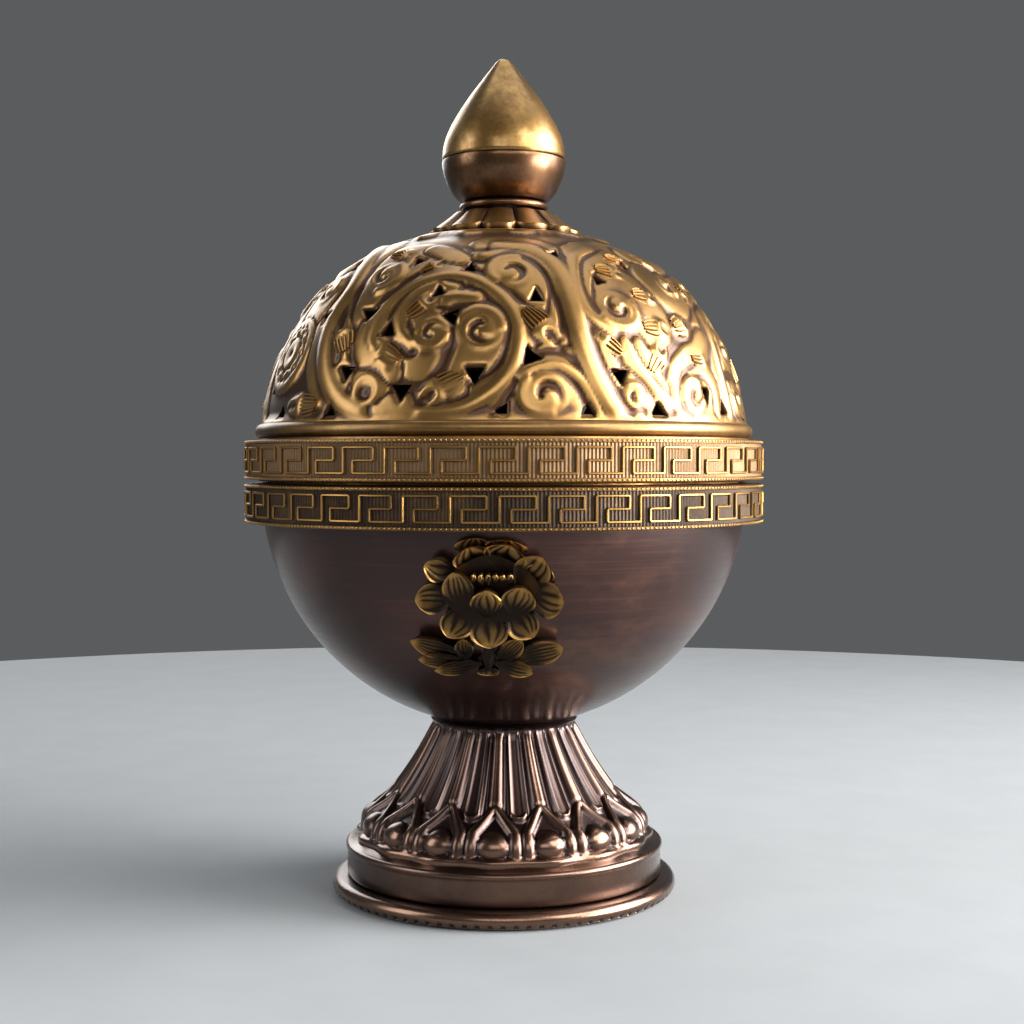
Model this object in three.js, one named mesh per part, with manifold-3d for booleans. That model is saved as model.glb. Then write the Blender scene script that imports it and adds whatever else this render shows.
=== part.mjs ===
// A brass and copper thurible censer: a round bowl on a flared foot, a pierced dome lid that
// lifts off, and a charcoal pan that hangs loose inside the bowl.
// Millimetres. +Z is up, the table is at z = 0, and the front, with its lotus badge, faces -Y.
import * as THREE from "three";
import { mergeVertices } from "three/addons/utils/BufferGeometryUtils.js";
import Module from "manifold-3d";

const wasm = await Module();
wasm.setup();

// ---------------------------------------------------------------- driving dimensions
const HEIGHT = 150; // table to the tip of the finial
const BAND_RADIUS = 46.5; // outside of the two key-pattern bands, the widest part
const GAP = 0.3; // clearance between touching pieces
const WALL = 1; // raised sheet of the bowl, the foot and the pan
const ROUND = 40; // facets round a large turned piece
const SMALL_ROUND = 24; // facets round a small turned piece

const SEAM_Z = 73.8; // middle of the joint between the bowl and the lid
const BAND_HEIGHT = 6.8; // each key-pattern band
const BAND_SHEET = 0.6; // thickness of the patterned strip
const BAND_SEAM = 0.8; // dark gap that shows between the two bands

const BOWL_RADIUS = 43.7; // outside of the round bowl
const BOWL_CENTRE_Z = 73.2;
const BOWL_BOTTOM_Z = BOWL_CENTRE_Z - BOWL_RADIUS;

const DOME_RADIUS = 44.2; // outside of the dome, before its crown flattens
const DOME_CENTRE_Z = 78.5;
const DOME_WALL = 1.2; // embossed sheet
const DOME_FLATTENING = 4.6; // how far the crown sits under the full sphere
const CROWN_SPREAD = 10; // the higher this power, the nearer the top the flattening starts
const DOME_TOP_Z = DOME_CENTRE_Z + DOME_RADIUS - DOME_FLATTENING;

const STUD_RADIUS = 2; // the finial's stud and the foot's bolt
const STUD_HOLE = STUD_RADIUS + GAP;
const NUT_CIRCUMRADIUS = 4; // hexagon nuts, 7 mm across the flats

const PLINTH_RADIUS = 28.8;
const BEAD_RADIUS = 31.2;
const BEAD_HEIGHT = 2.9;

// ---------------------------------------------------------------- turning and cutting
const at = (radius, z) => new THREE.Vector2(radius, z);

// Points along a circular arc in the turning plane, angles in degrees from the horizontal.
function arc(centreRadius, centreZ, radius, from, to, steps) {
  return Array.from({ length: steps + 1 }, (_, i) => {
    const angle = THREE.MathUtils.degToRad(from + ((to - from) * i) / steps);
    return at(centreRadius + radius * Math.cos(angle), centreZ + radius * Math.sin(angle));
  });
}

// The same points moved sideways, square to the line they make: the other face of a sheet.
function offset(points, distance) {
  return points.map((point, i) => {
    const before = points[Math.max(i - 1, 0)];
    const after = points[Math.min(i + 1, points.length - 1)];
    const along = after.clone().sub(before).normalize();
    return at(point.x - along.y * distance, point.y + along.x * distance);
  });
}

// A closed three.js geometry as a solid that can be joined to, or cut by, another one.
function solid(geometry) {
  const loose = geometry.index ? geometry.toNonIndexed() : geometry;
  const bare = new THREE.BufferGeometry().setAttribute("position", loose.getAttribute("position"));
  const merged = mergeVertices(bare, 1e-4);
  const corners = merged.index.array;
  const triVerts = [];
  for (let i = 0; i < corners.length; i += 3) {
    const [a, b, c] = corners.subarray(i, i + 3);
    if (a !== b && b !== c && c !== a) triVerts.push(a, b, c);
  }
  return new wasm.Manifold(
    new wasm.Mesh({
      numProp: 3,
      vertProperties: merged.attributes.position.array,
      triVerts: new Uint32Array(triVerts),
    }),
  );
}

// A profile of (radius, z) points turned about the Z axis. It closes on itself unless both of
// its ends are on the axis.
function turned(profile, facets = ROUND) {
  const points = THREE.ShapeUtils.area(profile) < 0 ? [...profile].reverse() : [...profile];
  const onAxis = points[0].x === 0 && points.at(-1).x === 0;
  if (!onAxis) points.push(points[0].clone());
  return solid(new THREE.LatheGeometry(points, facets).rotateX(Math.PI / 2));
}

// A ring with a plain rectangular section.
function ring(inner, outer, bottom, top, facets = ROUND) {
  return turned([at(inner, bottom), at(outer, bottom), at(outer, top), at(inner, top)], facets);
}

// A flat shape pushed along its own Z from `bottom` to `top`, then placed by a matrix.
function prism(shape, bottom, top, place = new THREE.Matrix4()) {
  const depth = top - bottom;
  const geometry = new THREE.ExtrudeGeometry(shape, { depth, bevelEnabled: false, curveSegments: 6 });
  return solid(geometry.translate(0, 0, bottom).applyMatrix4(place));
}

// X to the right, Y up and Z outwards on a sphere about the Z axis. Azimuth runs from the front
// (-Y) towards +X, latitude from the sphere's equator up, both in degrees.
function onSphere(azimuth, latitude, centreZ) {
  const a = THREE.MathUtils.degToRad(azimuth);
  const l = THREE.MathUtils.degToRad(latitude);
  const right = new THREE.Vector3(Math.cos(a), Math.sin(a), 0);
  const up = new THREE.Vector3(-Math.sin(a) * Math.sin(l), Math.cos(a) * Math.sin(l), Math.cos(l));
  const out = new THREE.Vector3().crossVectors(right, up);
  return new THREE.Matrix4().makeBasis(right, up, out).setPosition(0, 0, centreZ);
}

function hexagonNut(bottom, top) {
  const corners = Array.from({ length: 6 }, (_, i) => {
    const angle = (i * Math.PI) / 3;
    return at(NUT_CIRCUMRADIUS * Math.cos(angle), NUT_CIRCUMRADIUS * Math.sin(angle));
  });
  return prism(new THREE.Shape(corners), bottom, top).subtract(
    turned([at(0, bottom - 1), at(STUD_HOLE, bottom - 1), at(STUD_HOLE, top + 1), at(0, top + 1)], 12),
  );
}

// ---------------------------------------------------------------- finishes
const finish = (color, roughness, metalness) =>
  new THREE.MeshStandardMaterial({ color, roughness, metalness });
const bowlCopper = () => finish(0x4a2c22, 0.35, 1);
const footCopper = () => finish(0x54301f, 0.4, 1);
const domeBrass = () => finish(0x8f6a30, 0.38, 1);
const finialBrass = () => finish(0x9c7434, 0.32, 1);
const bandBrass = () => finish(0x6e5326, 0.45, 1);
const badgeBronze = () => finish(0x4d3a22, 0.5, 1);
const innerSteel = () => finish(0x77726a, 0.5, 1);
const panBrass = () => finish(0x6b5530, 0.6, 1);

const censer = new THREE.Group();

// One named piece of the object.
function add(name, shape, material) {
  const { vertProperties, triVerts } = shape.getMesh();
  const geometry = new THREE.BufferGeometry()
    .setAttribute("position", new THREE.BufferAttribute(vertProperties, 3))
    .setIndex(new THREE.BufferAttribute(triVerts, 1));
  geometry.computeVertexNormals();
  const mesh = new THREE.Mesh(geometry, material);
  mesh.name = name;
  censer.add(mesh);
}

// ---------------------------------------------------------------- foot
// The flared foot, from its lower edge inside the plinth up to the lip under the bowl.
const FOOT_BOTTOM_Z = BEAD_HEIGHT + GAP;
const FOOT_LIP_Z = 30.8;
const FOOT_OUTLINE = new THREE.SplineCurve([
  at(26.2, 9.8),
  at(25.3, 13.6),
  at(20.9, 17.4),
  at(16.7, 23.1),
  at(13.1, 29.5),
  at(13.3, FOOT_LIP_Z),
]).getPoints(9);

function footShell() {
  const outside = [at(FOOT_OUTLINE[0].x, FOOT_BOTTOM_Z), ...FOOT_OUTLINE];
  const inside = offset(outside, WALL).slice(0, -1).reverse();
  return turned([...outside, at(FOOT_OUTLINE.at(-1).x - WALL, FOOT_LIP_Z), ...inside]);
}

// The plain upright band round the foot's lower edge, with a ledge turned in over it.
function plinthBand() {
  const inner = FOOT_OUTLINE[0].x + GAP;
  const shoulder = PLINTH_RADIUS - 0.7;
  return turned([
    at(inner, FOOT_BOTTOM_Z),
    at(PLINTH_RADIUS, FOOT_BOTTOM_Z),
    at(PLINTH_RADIUS, 8.3),
    at(shoulder, 8.8),
    at(inner + 0.5, 9.6),
    at(inner, 9.6),
  ]);
}

// The half-round bead that the censer stands on, flat underneath.
function beadRing() {
  const half = BEAD_HEIGHT / 2;
  const flatRadius = BEAD_RADIUS - half;
  return turned([at(26.5, 0), ...arc(flatRadius, half, half, -90, 90, 6), at(26.5, BEAD_HEIGHT)]);
}

// A disc that jams up inside the narrowing neck, and the bolt and nut that pull it tight.
const CLAMP_RADIUS = 12.7;
const CLAMP_BOTTOM_Z = 25.6;
const CLAMP_TOP_Z = 26.8;
const clampDisc = () => ring(STUD_HOLE, CLAMP_RADIUS, CLAMP_BOTTOM_Z, CLAMP_TOP_Z, SMALL_ROUND);
const FOOT_NUT_TOP_Z = CLAMP_BOTTOM_Z - GAP;
const BOLT_END_Z = 20.5;

// A headed stud on the Z axis. The head's flat side is at headZ and the shank runs to endZ.
function stud(headZ, headRadius, headHeight, endZ) {
  return turned(
    [
      at(0, endZ),
      at(STUD_RADIUS, endZ),
      at(STUD_RADIUS, headZ),
      at(headRadius, headZ),
      at(headRadius, headZ + headHeight * 0.4),
      at(headRadius * 0.7, headZ + headHeight * 0.85),
      at(0, headZ + headHeight),
    ],
    12,
  );
}

add("foot_bead_ring", beadRing(), footCopper());
add("foot_plinth_band", plinthBand(), footCopper());
add("foot_shell", footShell(), footCopper());
add("foot_clamp_washer", clampDisc(), innerSteel());
add("foot_bolt", stud(BOWL_BOTTOM_Z + WALL + GAP + 0.2, 4, 1.6, BOLT_END_Z), innerSteel());
add("foot_nut", hexagonNut(FOOT_NUT_TOP_Z - 2.8, FOOT_NUT_TOP_Z), innerSteel());

// ---------------------------------------------------------------- bowl
const BOWL_RIM_Z = SEAM_Z - GAP / 2;
const BADGE_PEG_LATITUDES = [-17, -34];
const BADGE_PEG_RADIUS = 1;
const BADGE_AZIMUTHS = { lotus_front: 0, lotus_back: 180 };

// The round rod of a badge's peg, or the hole it passes through.
function rod(radius, from, to, place) {
  const outline = new THREE.Shape().absarc(0, 0, radius, 0, 2 * Math.PI);
  return prism(outline, from, to, place);
}

function bowl() {
  const inner = BOWL_RADIUS - WALL;
  const bottomAngle = (radius) => -90 + THREE.MathUtils.radToDeg(Math.asin(STUD_HOLE / radius));
  const outside = arc(0, BOWL_CENTRE_Z, BOWL_RADIUS, bottomAngle(BOWL_RADIUS), 0, 9);
  const inside = arc(0, BOWL_CENTRE_Z, inner, 0, bottomAngle(inner), 9);
  let shell = turned([...outside, at(BOWL_RADIUS, BOWL_RIM_Z), at(inner, BOWL_RIM_Z), ...inside]);
  for (const azimuth of Object.values(BADGE_AZIMUTHS)) {
    for (const latitude of BADGE_PEG_LATITUDES) {
      const place = onSphere(azimuth, latitude, BOWL_CENTRE_Z);
      shell = shell.subtract(rod(BADGE_PEG_RADIUS + GAP, inner - 3, BOWL_RADIUS + 3, place));
    }
  }
  return shell;
}

// A plain ring that holds a patterned strip clear of the round sheet behind it.
const CARRIER_RADIUS = BAND_RADIUS - BAND_SHEET - GAP;
const LOWER_BAND_TOP_Z = SEAM_Z - BAND_SEAM / 2;
const LOWER_BAND_BOTTOM_Z = LOWER_BAND_TOP_Z - BAND_HEIGHT;
const UPPER_BAND_BOTTOM_Z = SEAM_Z + BAND_SEAM / 2;
const UPPER_BAND_TOP_Z = UPPER_BAND_BOTTOM_Z + BAND_HEIGHT;
const band = (bottom, top) => ring(BAND_RADIUS - BAND_SHEET, BAND_RADIUS, bottom, top);

// The rings that carry the two bands, each clear of the bowl or the dome inside it.
const carrier = (inner, bottom, top) => ring(inner + GAP, CARRIER_RADIUS, bottom, top);

// The sleeve inside the rim that the lid's skirt drops over.
const SLEEVE_RADIUS = 42.3;
const SLEEVE_WALL = 0.7;
const SLEEVE_BOTTOM_Z = SEAM_Z - 3.8;
const SLEEVE_TOP_Z = SEAM_Z + 4.2;
const sleeve = () => ring(SLEEVE_RADIUS - SLEEVE_WALL, SLEEVE_RADIUS, SLEEVE_BOTTOM_Z, SLEEVE_TOP_Z);

add("bowl", bowl(), bowlCopper());
add("bowl_rim_ring", carrier(BOWL_RADIUS, LOWER_BAND_BOTTOM_Z + 0.2, LOWER_BAND_TOP_Z), bandBrass());
add("bowl_key_band", band(LOWER_BAND_BOTTOM_Z, LOWER_BAND_TOP_Z), bandBrass());
add("lid_locating_sleeve", sleeve(), bandBrass());

// ---------------------------------------------------------------- lotus badges
const BADGE_LIFT = 2.7; // how far the badge stands out from the bowl
const FLOWER_LATITUDE = -21;
const LEAF_LATITUDE = -37;
const PETALS = 9;

// The flower's outline: a circle of rounded petals with notches between them.
function flowerOutline() {
  const petalRadius = 9.4;
  const notch = 1.8;
  const points = Array.from({ length: PETALS * 4 }, (_, i) => {
    const angle = (i / (PETALS * 4)) * 2 * Math.PI;
    const radius = petalRadius - notch * (1 - Math.abs(Math.cos((angle * PETALS) / 2)));
    return at(radius * Math.sin(angle), -radius * Math.cos(angle));
  });
  return new THREE.Shape(points);
}

// One leaf that spreads from the stem to the given side, with a pointed tip.
function leafOutline(side) {
  const leaf = new THREE.Shape().moveTo(side * -1, -4);
  leaf.quadraticCurveTo(side * 9, -7, side * 12, 2.5);
  leaf.quadraticCurveTo(side * 6, 3.5, side * 3, -0.5);
  leaf.lineTo(side * 1.2, 3);
  leaf.lineTo(side * -1, 3);
  return leaf;
}

function lotusBadge(azimuth) {
  const frameAt = (latitude) => onSphere(azimuth, latitude, BOWL_CENTRE_Z);
  const reach = [BOWL_RADIUS - 8, BOWL_RADIUS + 8];
  const outline = prism(flowerOutline(), ...reach, frameAt(FLOWER_LATITUDE))
    .add(prism(leafOutline(1), ...reach, frameAt(LEAF_LATITUDE)))
    .add(prism(leafOutline(-1), ...reach, frameAt(LEAF_LATITUDE)));
  const ball = (radius) => turned(arc(0, BOWL_CENTRE_Z, radius, -90, 90, ROUND / 2).map(onAxisAtEnds));
  const plate = ball(BOWL_RADIUS + BADGE_LIFT + GAP).subtract(ball(BOWL_RADIUS + GAP + 0.1));
  const pegHeadTop = BOWL_RADIUS - WALL - GAP;
  return BADGE_PEG_LATITUDES.reduce((badge, latitude) => {
    const peg = rod(BADGE_PEG_RADIUS, pegHeadTop - 0.7, BOWL_RADIUS + 1, frameAt(latitude));
    const peenedHead = rod(BADGE_PEG_RADIUS * 1.8, pegHeadTop - 0.7, pegHeadTop, frameAt(latitude));
    return badge.add(peg).add(peenedHead);
  }, outline.intersect(plate));
}

// The first and last points of a half circle, put exactly on the axis.
function onAxisAtEnds(point, i, points) {
  return i === 0 || i === points.length - 1 ? at(0, point.y) : point;
}

for (const [name, azimuth] of Object.entries(BADGE_AZIMUTHS)) add(name, lotusBadge(azimuth), badgeBronze());

// ---------------------------------------------------------------- charcoal pan
// A loose pan whose rolled rim rests on the narrowing wall of the bowl.
const PAN_RIM_Z = 45;
const PAN_RIM_RADIUS = 30.7;
const PAN_ROLL = 0.6;
const PAN_FLOOR_Z = 36.5;
const PAN_FLOOR_RADIUS = 15;

function charcoalPan() {
  const outside = [
    at(0, PAN_FLOOR_Z),
    at(PAN_FLOOR_RADIUS, PAN_FLOOR_Z),
    at(23, 38.3),
    at(PAN_RIM_RADIUS - PAN_ROLL * 0.8, PAN_RIM_Z - PAN_ROLL),
  ];
  const roll = arc(PAN_RIM_RADIUS, PAN_RIM_Z, PAN_ROLL, -90, 180, 5);
  const inside = [
    at(PAN_RIM_RADIUS - 1.6, PAN_RIM_Z - 0.2),
    at(22.4, 39.1),
    at(PAN_FLOOR_RADIUS - 0.2, PAN_FLOOR_Z + 0.8),
    at(0, PAN_FLOOR_Z + 0.8),
  ];
  return turned([...outside, ...roll, ...inside]);
}

add("charcoal_pan", charcoalPan(), panBrass());

// ---------------------------------------------------------------- dome lid
// The dome's outline at a latitude, moved out by `lift`. Its crown is a little flat.
function onDome(latitude, lift = 0) {
  const angle = THREE.MathUtils.degToRad(latitude);
  const radius = DOME_RADIUS - DOME_FLATTENING * Math.sin(angle) ** CROWN_SPREAD + lift;
  return at(radius * Math.cos(angle), DOME_CENTRE_Z + radius * Math.sin(angle));
}

// Latitudes from the moulding over the band up to the edge of the crown's hole.
const MOULDING_TOP_LATITUDE = 7;
const CROWN_LATITUDE = 90 - THREE.MathUtils.radToDeg(STUD_HOLE / (DOME_RADIUS - DOME_FLATTENING));
const DOME_LATITUDES = Array.from({ length: 10 }, (_, i) =>
  THREE.MathUtils.lerp(MOULDING_TOP_LATITUDE, CROWN_LATITUDE, i / 9),
);

// The triangular piercings in one half of the dome, which the other half repeats:
// azimuth and latitude in degrees, width and height in millimetres, and the turn in degrees
// from pointing straight up.
const PIERCINGS = [
  [-68, 15, 3.0, 2.2, 0],
  [-57, 9, 3.8, 2.6, 0],
  [-49, 32, 3.2, 2.2, 180],
  [-36.5, 8.6, 3.3, 2.4, 0],
  [-33.5, 18, 3.3, 2.6, 180],
  [-32, 32, 3.6, 2.5, 180],
  [-24.5, 27.3, 2.8, 3.0, 0],
  [-24.5, 47.5, 2.6, 2.8, 160],
  [-18.3, 13.5, 3.6, 2.9, 180],
  [-13.5, 37, 3.0, 1.8, 250],
  [-8.5, 30.5, 2.9, 2.8, 200],
  [-6, 44.6, 2.2, 2.6, 0],
  [-2, 17, 3.2, 2.9, 180],
  [4, 9, 2.3, 2.2, 330],
  [10.3, 20.7, 3.3, 2.8, 20],
  [12.7, 35.5, 2.4, 2.7, 0],
  [21.3, 49.7, 2.8, 2.0, 90],
  [22, 8.6, 2.7, 2.3, 0],
  [30.5, 17, 3.1, 2.6, 180],
  [32.3, 41, 2.0, 2.2, 20],
  [39.5, 9, 3.4, 2.4, 0],
  [47, 47.5, 2.4, 1.9, 90],
  [56.3, 13.5, 2.8, 2.9, 180],
  [63.5, 10, 2.5, 2.3, 0],
  [62.5, 47, 2.8, 2.1, 270],
  [79, 9, 3.2, 2.4, 0],
  [80, 30, 2.8, 2.4, 180],
];

function piercing([azimuth, latitude, width, height, turn]) {
  const triangle = [at(-width / 2, -height / 3), at(width / 2, -height / 3), at(0, (2 * height) / 3)];
  const place = onSphere(azimuth, latitude, DOME_CENTRE_Z);
  place.multiply(new THREE.Matrix4().makeRotationZ(THREE.MathUtils.degToRad(turn)));
  return prism(new THREE.Shape(triangle), DOME_RADIUS - 4, DOME_RADIUS + 4, place);
}

function dome() {
  const skirtBottom = SEAM_Z + GAP / 2;
  const skirtInner = DOME_RADIUS - DOME_WALL;
  const moulding = arc(DOME_RADIUS - 0.9, UPPER_BAND_TOP_Z + 1.6, 1.4, -60, 60, 4);
  const outside = [at(DOME_RADIUS, skirtBottom), ...moulding, ...DOME_LATITUDES.map((l) => onDome(l))];
  const inside = DOME_LATITUDES.map((l) => onDome(l, -DOME_WALL)).reverse();
  let shell = turned([...outside, ...inside, at(skirtInner, DOME_CENTRE_Z), at(skirtInner, skirtBottom)]);
  for (const [azimuth, ...rest] of PIERCINGS) {
    shell = shell.subtract(piercing([azimuth, ...rest]));
    shell = shell.subtract(piercing([azimuth + 180, ...rest]));
  }
  return shell;
}

add("lid_dome", dome(), domeBrass());
add("lid_rim_ring", carrier(DOME_RADIUS, UPPER_BAND_BOTTOM_Z, UPPER_BAND_TOP_Z), bandBrass());
add("lid_key_band", band(UPPER_BAND_BOTTOM_Z, UPPER_BAND_TOP_Z), bandBrass());

// ---------------------------------------------------------------- finial
// The lotus collar that lies on the crown, under the finial.
const COLLAR_TOP_Z = 122.3;
const NECK_RADIUS = 8;

function petalCollar() {
  const edgeLatitude = 72;
  const underside = [90, 85, 80, 75, edgeLatitude].map((latitude) => onDome(latitude, GAP));
  const outside = [at(12.9, 118.8), at(11, 120), at(9.3, 121.3), at(NECK_RADIUS - 0.1, COLLAR_TOP_Z)];
  const crownUnder = at(STUD_HOLE, underside[0].y);
  return turned([crownUnder, ...underside.slice(1), ...outside, at(STUD_HOLE, COLLAR_TOP_Z)], SMALL_ROUND);
}

const NECK_BOTTOM_Z = COLLAR_TOP_Z + GAP;
const NECK_TOP_Z = 123.9;

function neckRing() {
  const half = (NECK_TOP_Z - NECK_BOTTOM_Z) / 2;
  const edge = arc(NECK_RADIUS - half, NECK_BOTTOM_Z + half, half, -90, 90, 6);
  return turned([at(STUD_HOLE, NECK_BOTTOM_Z), ...edge, at(STUD_HOLE, NECK_TOP_Z)], SMALL_ROUND);
}

const CUP_BOTTOM_Z = NECK_TOP_Z + GAP;
const CUP_TOP_Z = 131.5;
const CUP_RADIUS = 11.2;
const FINIAL_WALL = 0.9;

function finialCup() {
  const side = new THREE.SplineCurve([
    at(8.1, CUP_BOTTOM_Z),
    at(9.7, 126.2),
    at(10.9, 129.2),
    at(CUP_RADIUS, CUP_TOP_Z),
  ]).getPoints(6);
  const floorZ = CUP_BOTTOM_Z + FINIAL_WALL;
  const inside = offset(side, FINIAL_WALL).filter((point) => point.y > floorZ && point.y < CUP_TOP_Z);
  const rim = at(CUP_RADIUS - FINIAL_WALL, CUP_TOP_Z);
  const hollow = [rim, ...inside.reverse(), at(7.4, floorZ), at(STUD_HOLE, floorZ)];
  return turned([at(STUD_HOLE, CUP_BOTTOM_Z), ...side, ...hollow], SMALL_ROUND);
}

// The pointed top, with a spigot under it that plugs into the cup.
function finialCone() {
  const bottom = CUP_TOP_Z + GAP;
  const spigotRadius = CUP_RADIUS - FINIAL_WALL - 2 * GAP;
  const spigotBottom = bottom - 2.1;
  const outside = new THREE.SplineCurve([
    at(CUP_RADIUS - 0.1, bottom),
    at(10.8, 134.5),
    at(8.5, 139.6),
    at(4.3, 145.6),
    at(1.6, 149),
  ]).getPoints(9);
  const profile = [
    at(0, HEIGHT - 5),
    at(spigotRadius - FINIAL_WALL, bottom),
    at(spigotRadius - FINIAL_WALL, spigotBottom),
    at(spigotRadius, spigotBottom),
    at(spigotRadius, bottom),
    ...outside,
    at(0.9, HEIGHT - 0.2),
    at(0, HEIGHT),
  ];
  return turned(profile, SMALL_ROUND);
}

// The stud that holds the finial down through the crown, with its washer and nut inside.
const STUD_HEAD_Z = CUP_BOTTOM_Z + FINIAL_WALL + GAP;
const WASHER_TOP_Z = DOME_TOP_Z - DOME_WALL - 2 * GAP;
const WASHER_BOTTOM_Z = WASHER_TOP_Z - 1.1;
const NUT_TOP_Z = WASHER_BOTTOM_Z - GAP;
const NUT_BOTTOM_Z = NUT_TOP_Z - 2.8;

add("petal_collar", petalCollar(), domeBrass());
add("finial_neck_ring", neckRing(), finialBrass());
add("finial_cup", finialCup(), finialBrass());
add("finial_cone", finialCone(), finialBrass());
add("finial_stud", stud(STUD_HEAD_Z, 4, 1.5, NUT_BOTTOM_Z - 1.2), innerSteel());
add("finial_washer", ring(STUD_HOLE, 6, WASHER_BOTTOM_Z, WASHER_TOP_Z, SMALL_ROUND), innerSteel());
add("finial_nut", hexagonNut(NUT_BOTTOM_Z, NUT_TOP_Z), innerSteel());

export default censer;
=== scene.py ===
import math

import bmesh
import bpy
import numpy as np
from bpy.props import FloatProperty, FloatVectorProperty, IntProperty, PointerProperty
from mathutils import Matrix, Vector


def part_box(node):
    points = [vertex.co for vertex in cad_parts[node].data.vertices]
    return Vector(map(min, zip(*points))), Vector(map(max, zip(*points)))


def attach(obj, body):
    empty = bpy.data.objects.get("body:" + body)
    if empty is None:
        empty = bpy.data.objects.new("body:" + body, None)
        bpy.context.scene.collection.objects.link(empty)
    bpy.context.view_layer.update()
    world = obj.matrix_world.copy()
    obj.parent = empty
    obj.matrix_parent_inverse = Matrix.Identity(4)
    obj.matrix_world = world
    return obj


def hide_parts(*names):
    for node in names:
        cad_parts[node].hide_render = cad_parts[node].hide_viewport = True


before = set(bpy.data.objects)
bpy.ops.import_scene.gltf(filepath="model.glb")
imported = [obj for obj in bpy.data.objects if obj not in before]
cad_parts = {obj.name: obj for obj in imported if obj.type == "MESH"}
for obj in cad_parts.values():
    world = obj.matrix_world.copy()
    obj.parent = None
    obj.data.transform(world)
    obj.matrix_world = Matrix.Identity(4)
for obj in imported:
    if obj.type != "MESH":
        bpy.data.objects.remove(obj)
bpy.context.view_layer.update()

bl_info = {
    "name": "Thurible Censer",
    "version": (1, 0, 0),
    "blender": (4, 5, 0),
    "location": "3D View > Sidebar > Censer",
    "description": "Builds the looks of a brass and copper censer around its packed frame",
    "category": "Add Mesh",
}

MM = 0.001
TURN = 2 * math.pi


# ------------------------------------------------------------------ places, from the frame
def radius_of(node):
    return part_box(node)[1].x


def heights_of(node):
    low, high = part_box(node)
    return low.z, high.z


GAP = 0.3 * MM  # clearance between touching pieces
BAND_RADIUS = radius_of("bowl_key_band")
BAND_SHEET = 0.6 * MM
BOWL_RADIUS = radius_of("bowl")
BOWL_RIM_Z = heights_of("bowl")[1]
BOWL_CENTRE_Z = BOWL_RIM_Z - 0.45 * MM
BOWL_WALL = 1.0 * MM
STUD_HOLE = 2.3 * MM  # radius of the holes for the two studs

DOME_FLATTENING = 4.6 * MM  # how far the crown sits under the full sphere
CROWN_SPREAD = 10  # the higher this power, the nearer the top the flattening starts
DOME_WALL = 1.2 * MM
DOME_RADIUS = radius_of("lid_dome") - 0.5 * MM
DOME_SKIRT_Z = heights_of("lid_dome")[0]
DOME_CENTRE_Z = 78.5 * MM
MOULDING_Z = heights_of("lid_key_band")[1] + 1.6 * MM

# ------------------------------------------------------------------ the dome's pattern
# One half of the dome, which the other half repeats. Places are (azimuth, latitude) in
# degrees, azimuth running from the front towards +X. Widths and reaches are in millimetres.

# Triangular piercings: azimuth, latitude, width, height, and the turn from pointing up.
PIERCINGS = (
    (-68, 15, 3.0, 2.2, 0),
    (-57, 9, 3.8, 2.6, 0),
    (-49, 32, 3.2, 2.2, 180),
    (-36.5, 8.6, 3.3, 2.4, 0),
    (-33.5, 18, 3.3, 2.6, 180),
    (-32, 32, 3.6, 2.5, 180),
    (-24.5, 27.3, 2.8, 3.0, 0),
    (-24.5, 47.5, 2.6, 2.8, 160),
    (-18.3, 13.5, 3.6, 2.9, 180),
    (-13.5, 37, 3.0, 1.8, 250),
    (-8.5, 30.5, 2.9, 2.8, 200),
    (-6, 44.6, 2.2, 2.6, 0),
    (-2, 17, 3.2, 2.9, 180),
    (4, 9, 2.3, 2.2, 330),
    (10.3, 20.7, 3.3, 2.8, 20),
    (12.7, 35.5, 2.4, 2.7, 0),
    (21.3, 49.7, 2.8, 2.0, 90),
    (22, 8.6, 2.7, 2.3, 0),
    (30.5, 17, 3.1, 2.6, 180),
    (32.3, 41, 2.0, 2.2, 20),
    (39.5, 9, 3.4, 2.4, 0),
    (47, 47.5, 2.4, 1.9, 90),
    (56.3, 13.5, 2.8, 2.9, 180),
    (63.5, 10, 2.5, 2.3, 0),
    (62.5, 47, 2.8, 2.1, 270),
    (79, 9, 3.2, 2.4, 0),
    (80, 30, 2.8, 2.4, 180),
)

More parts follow.
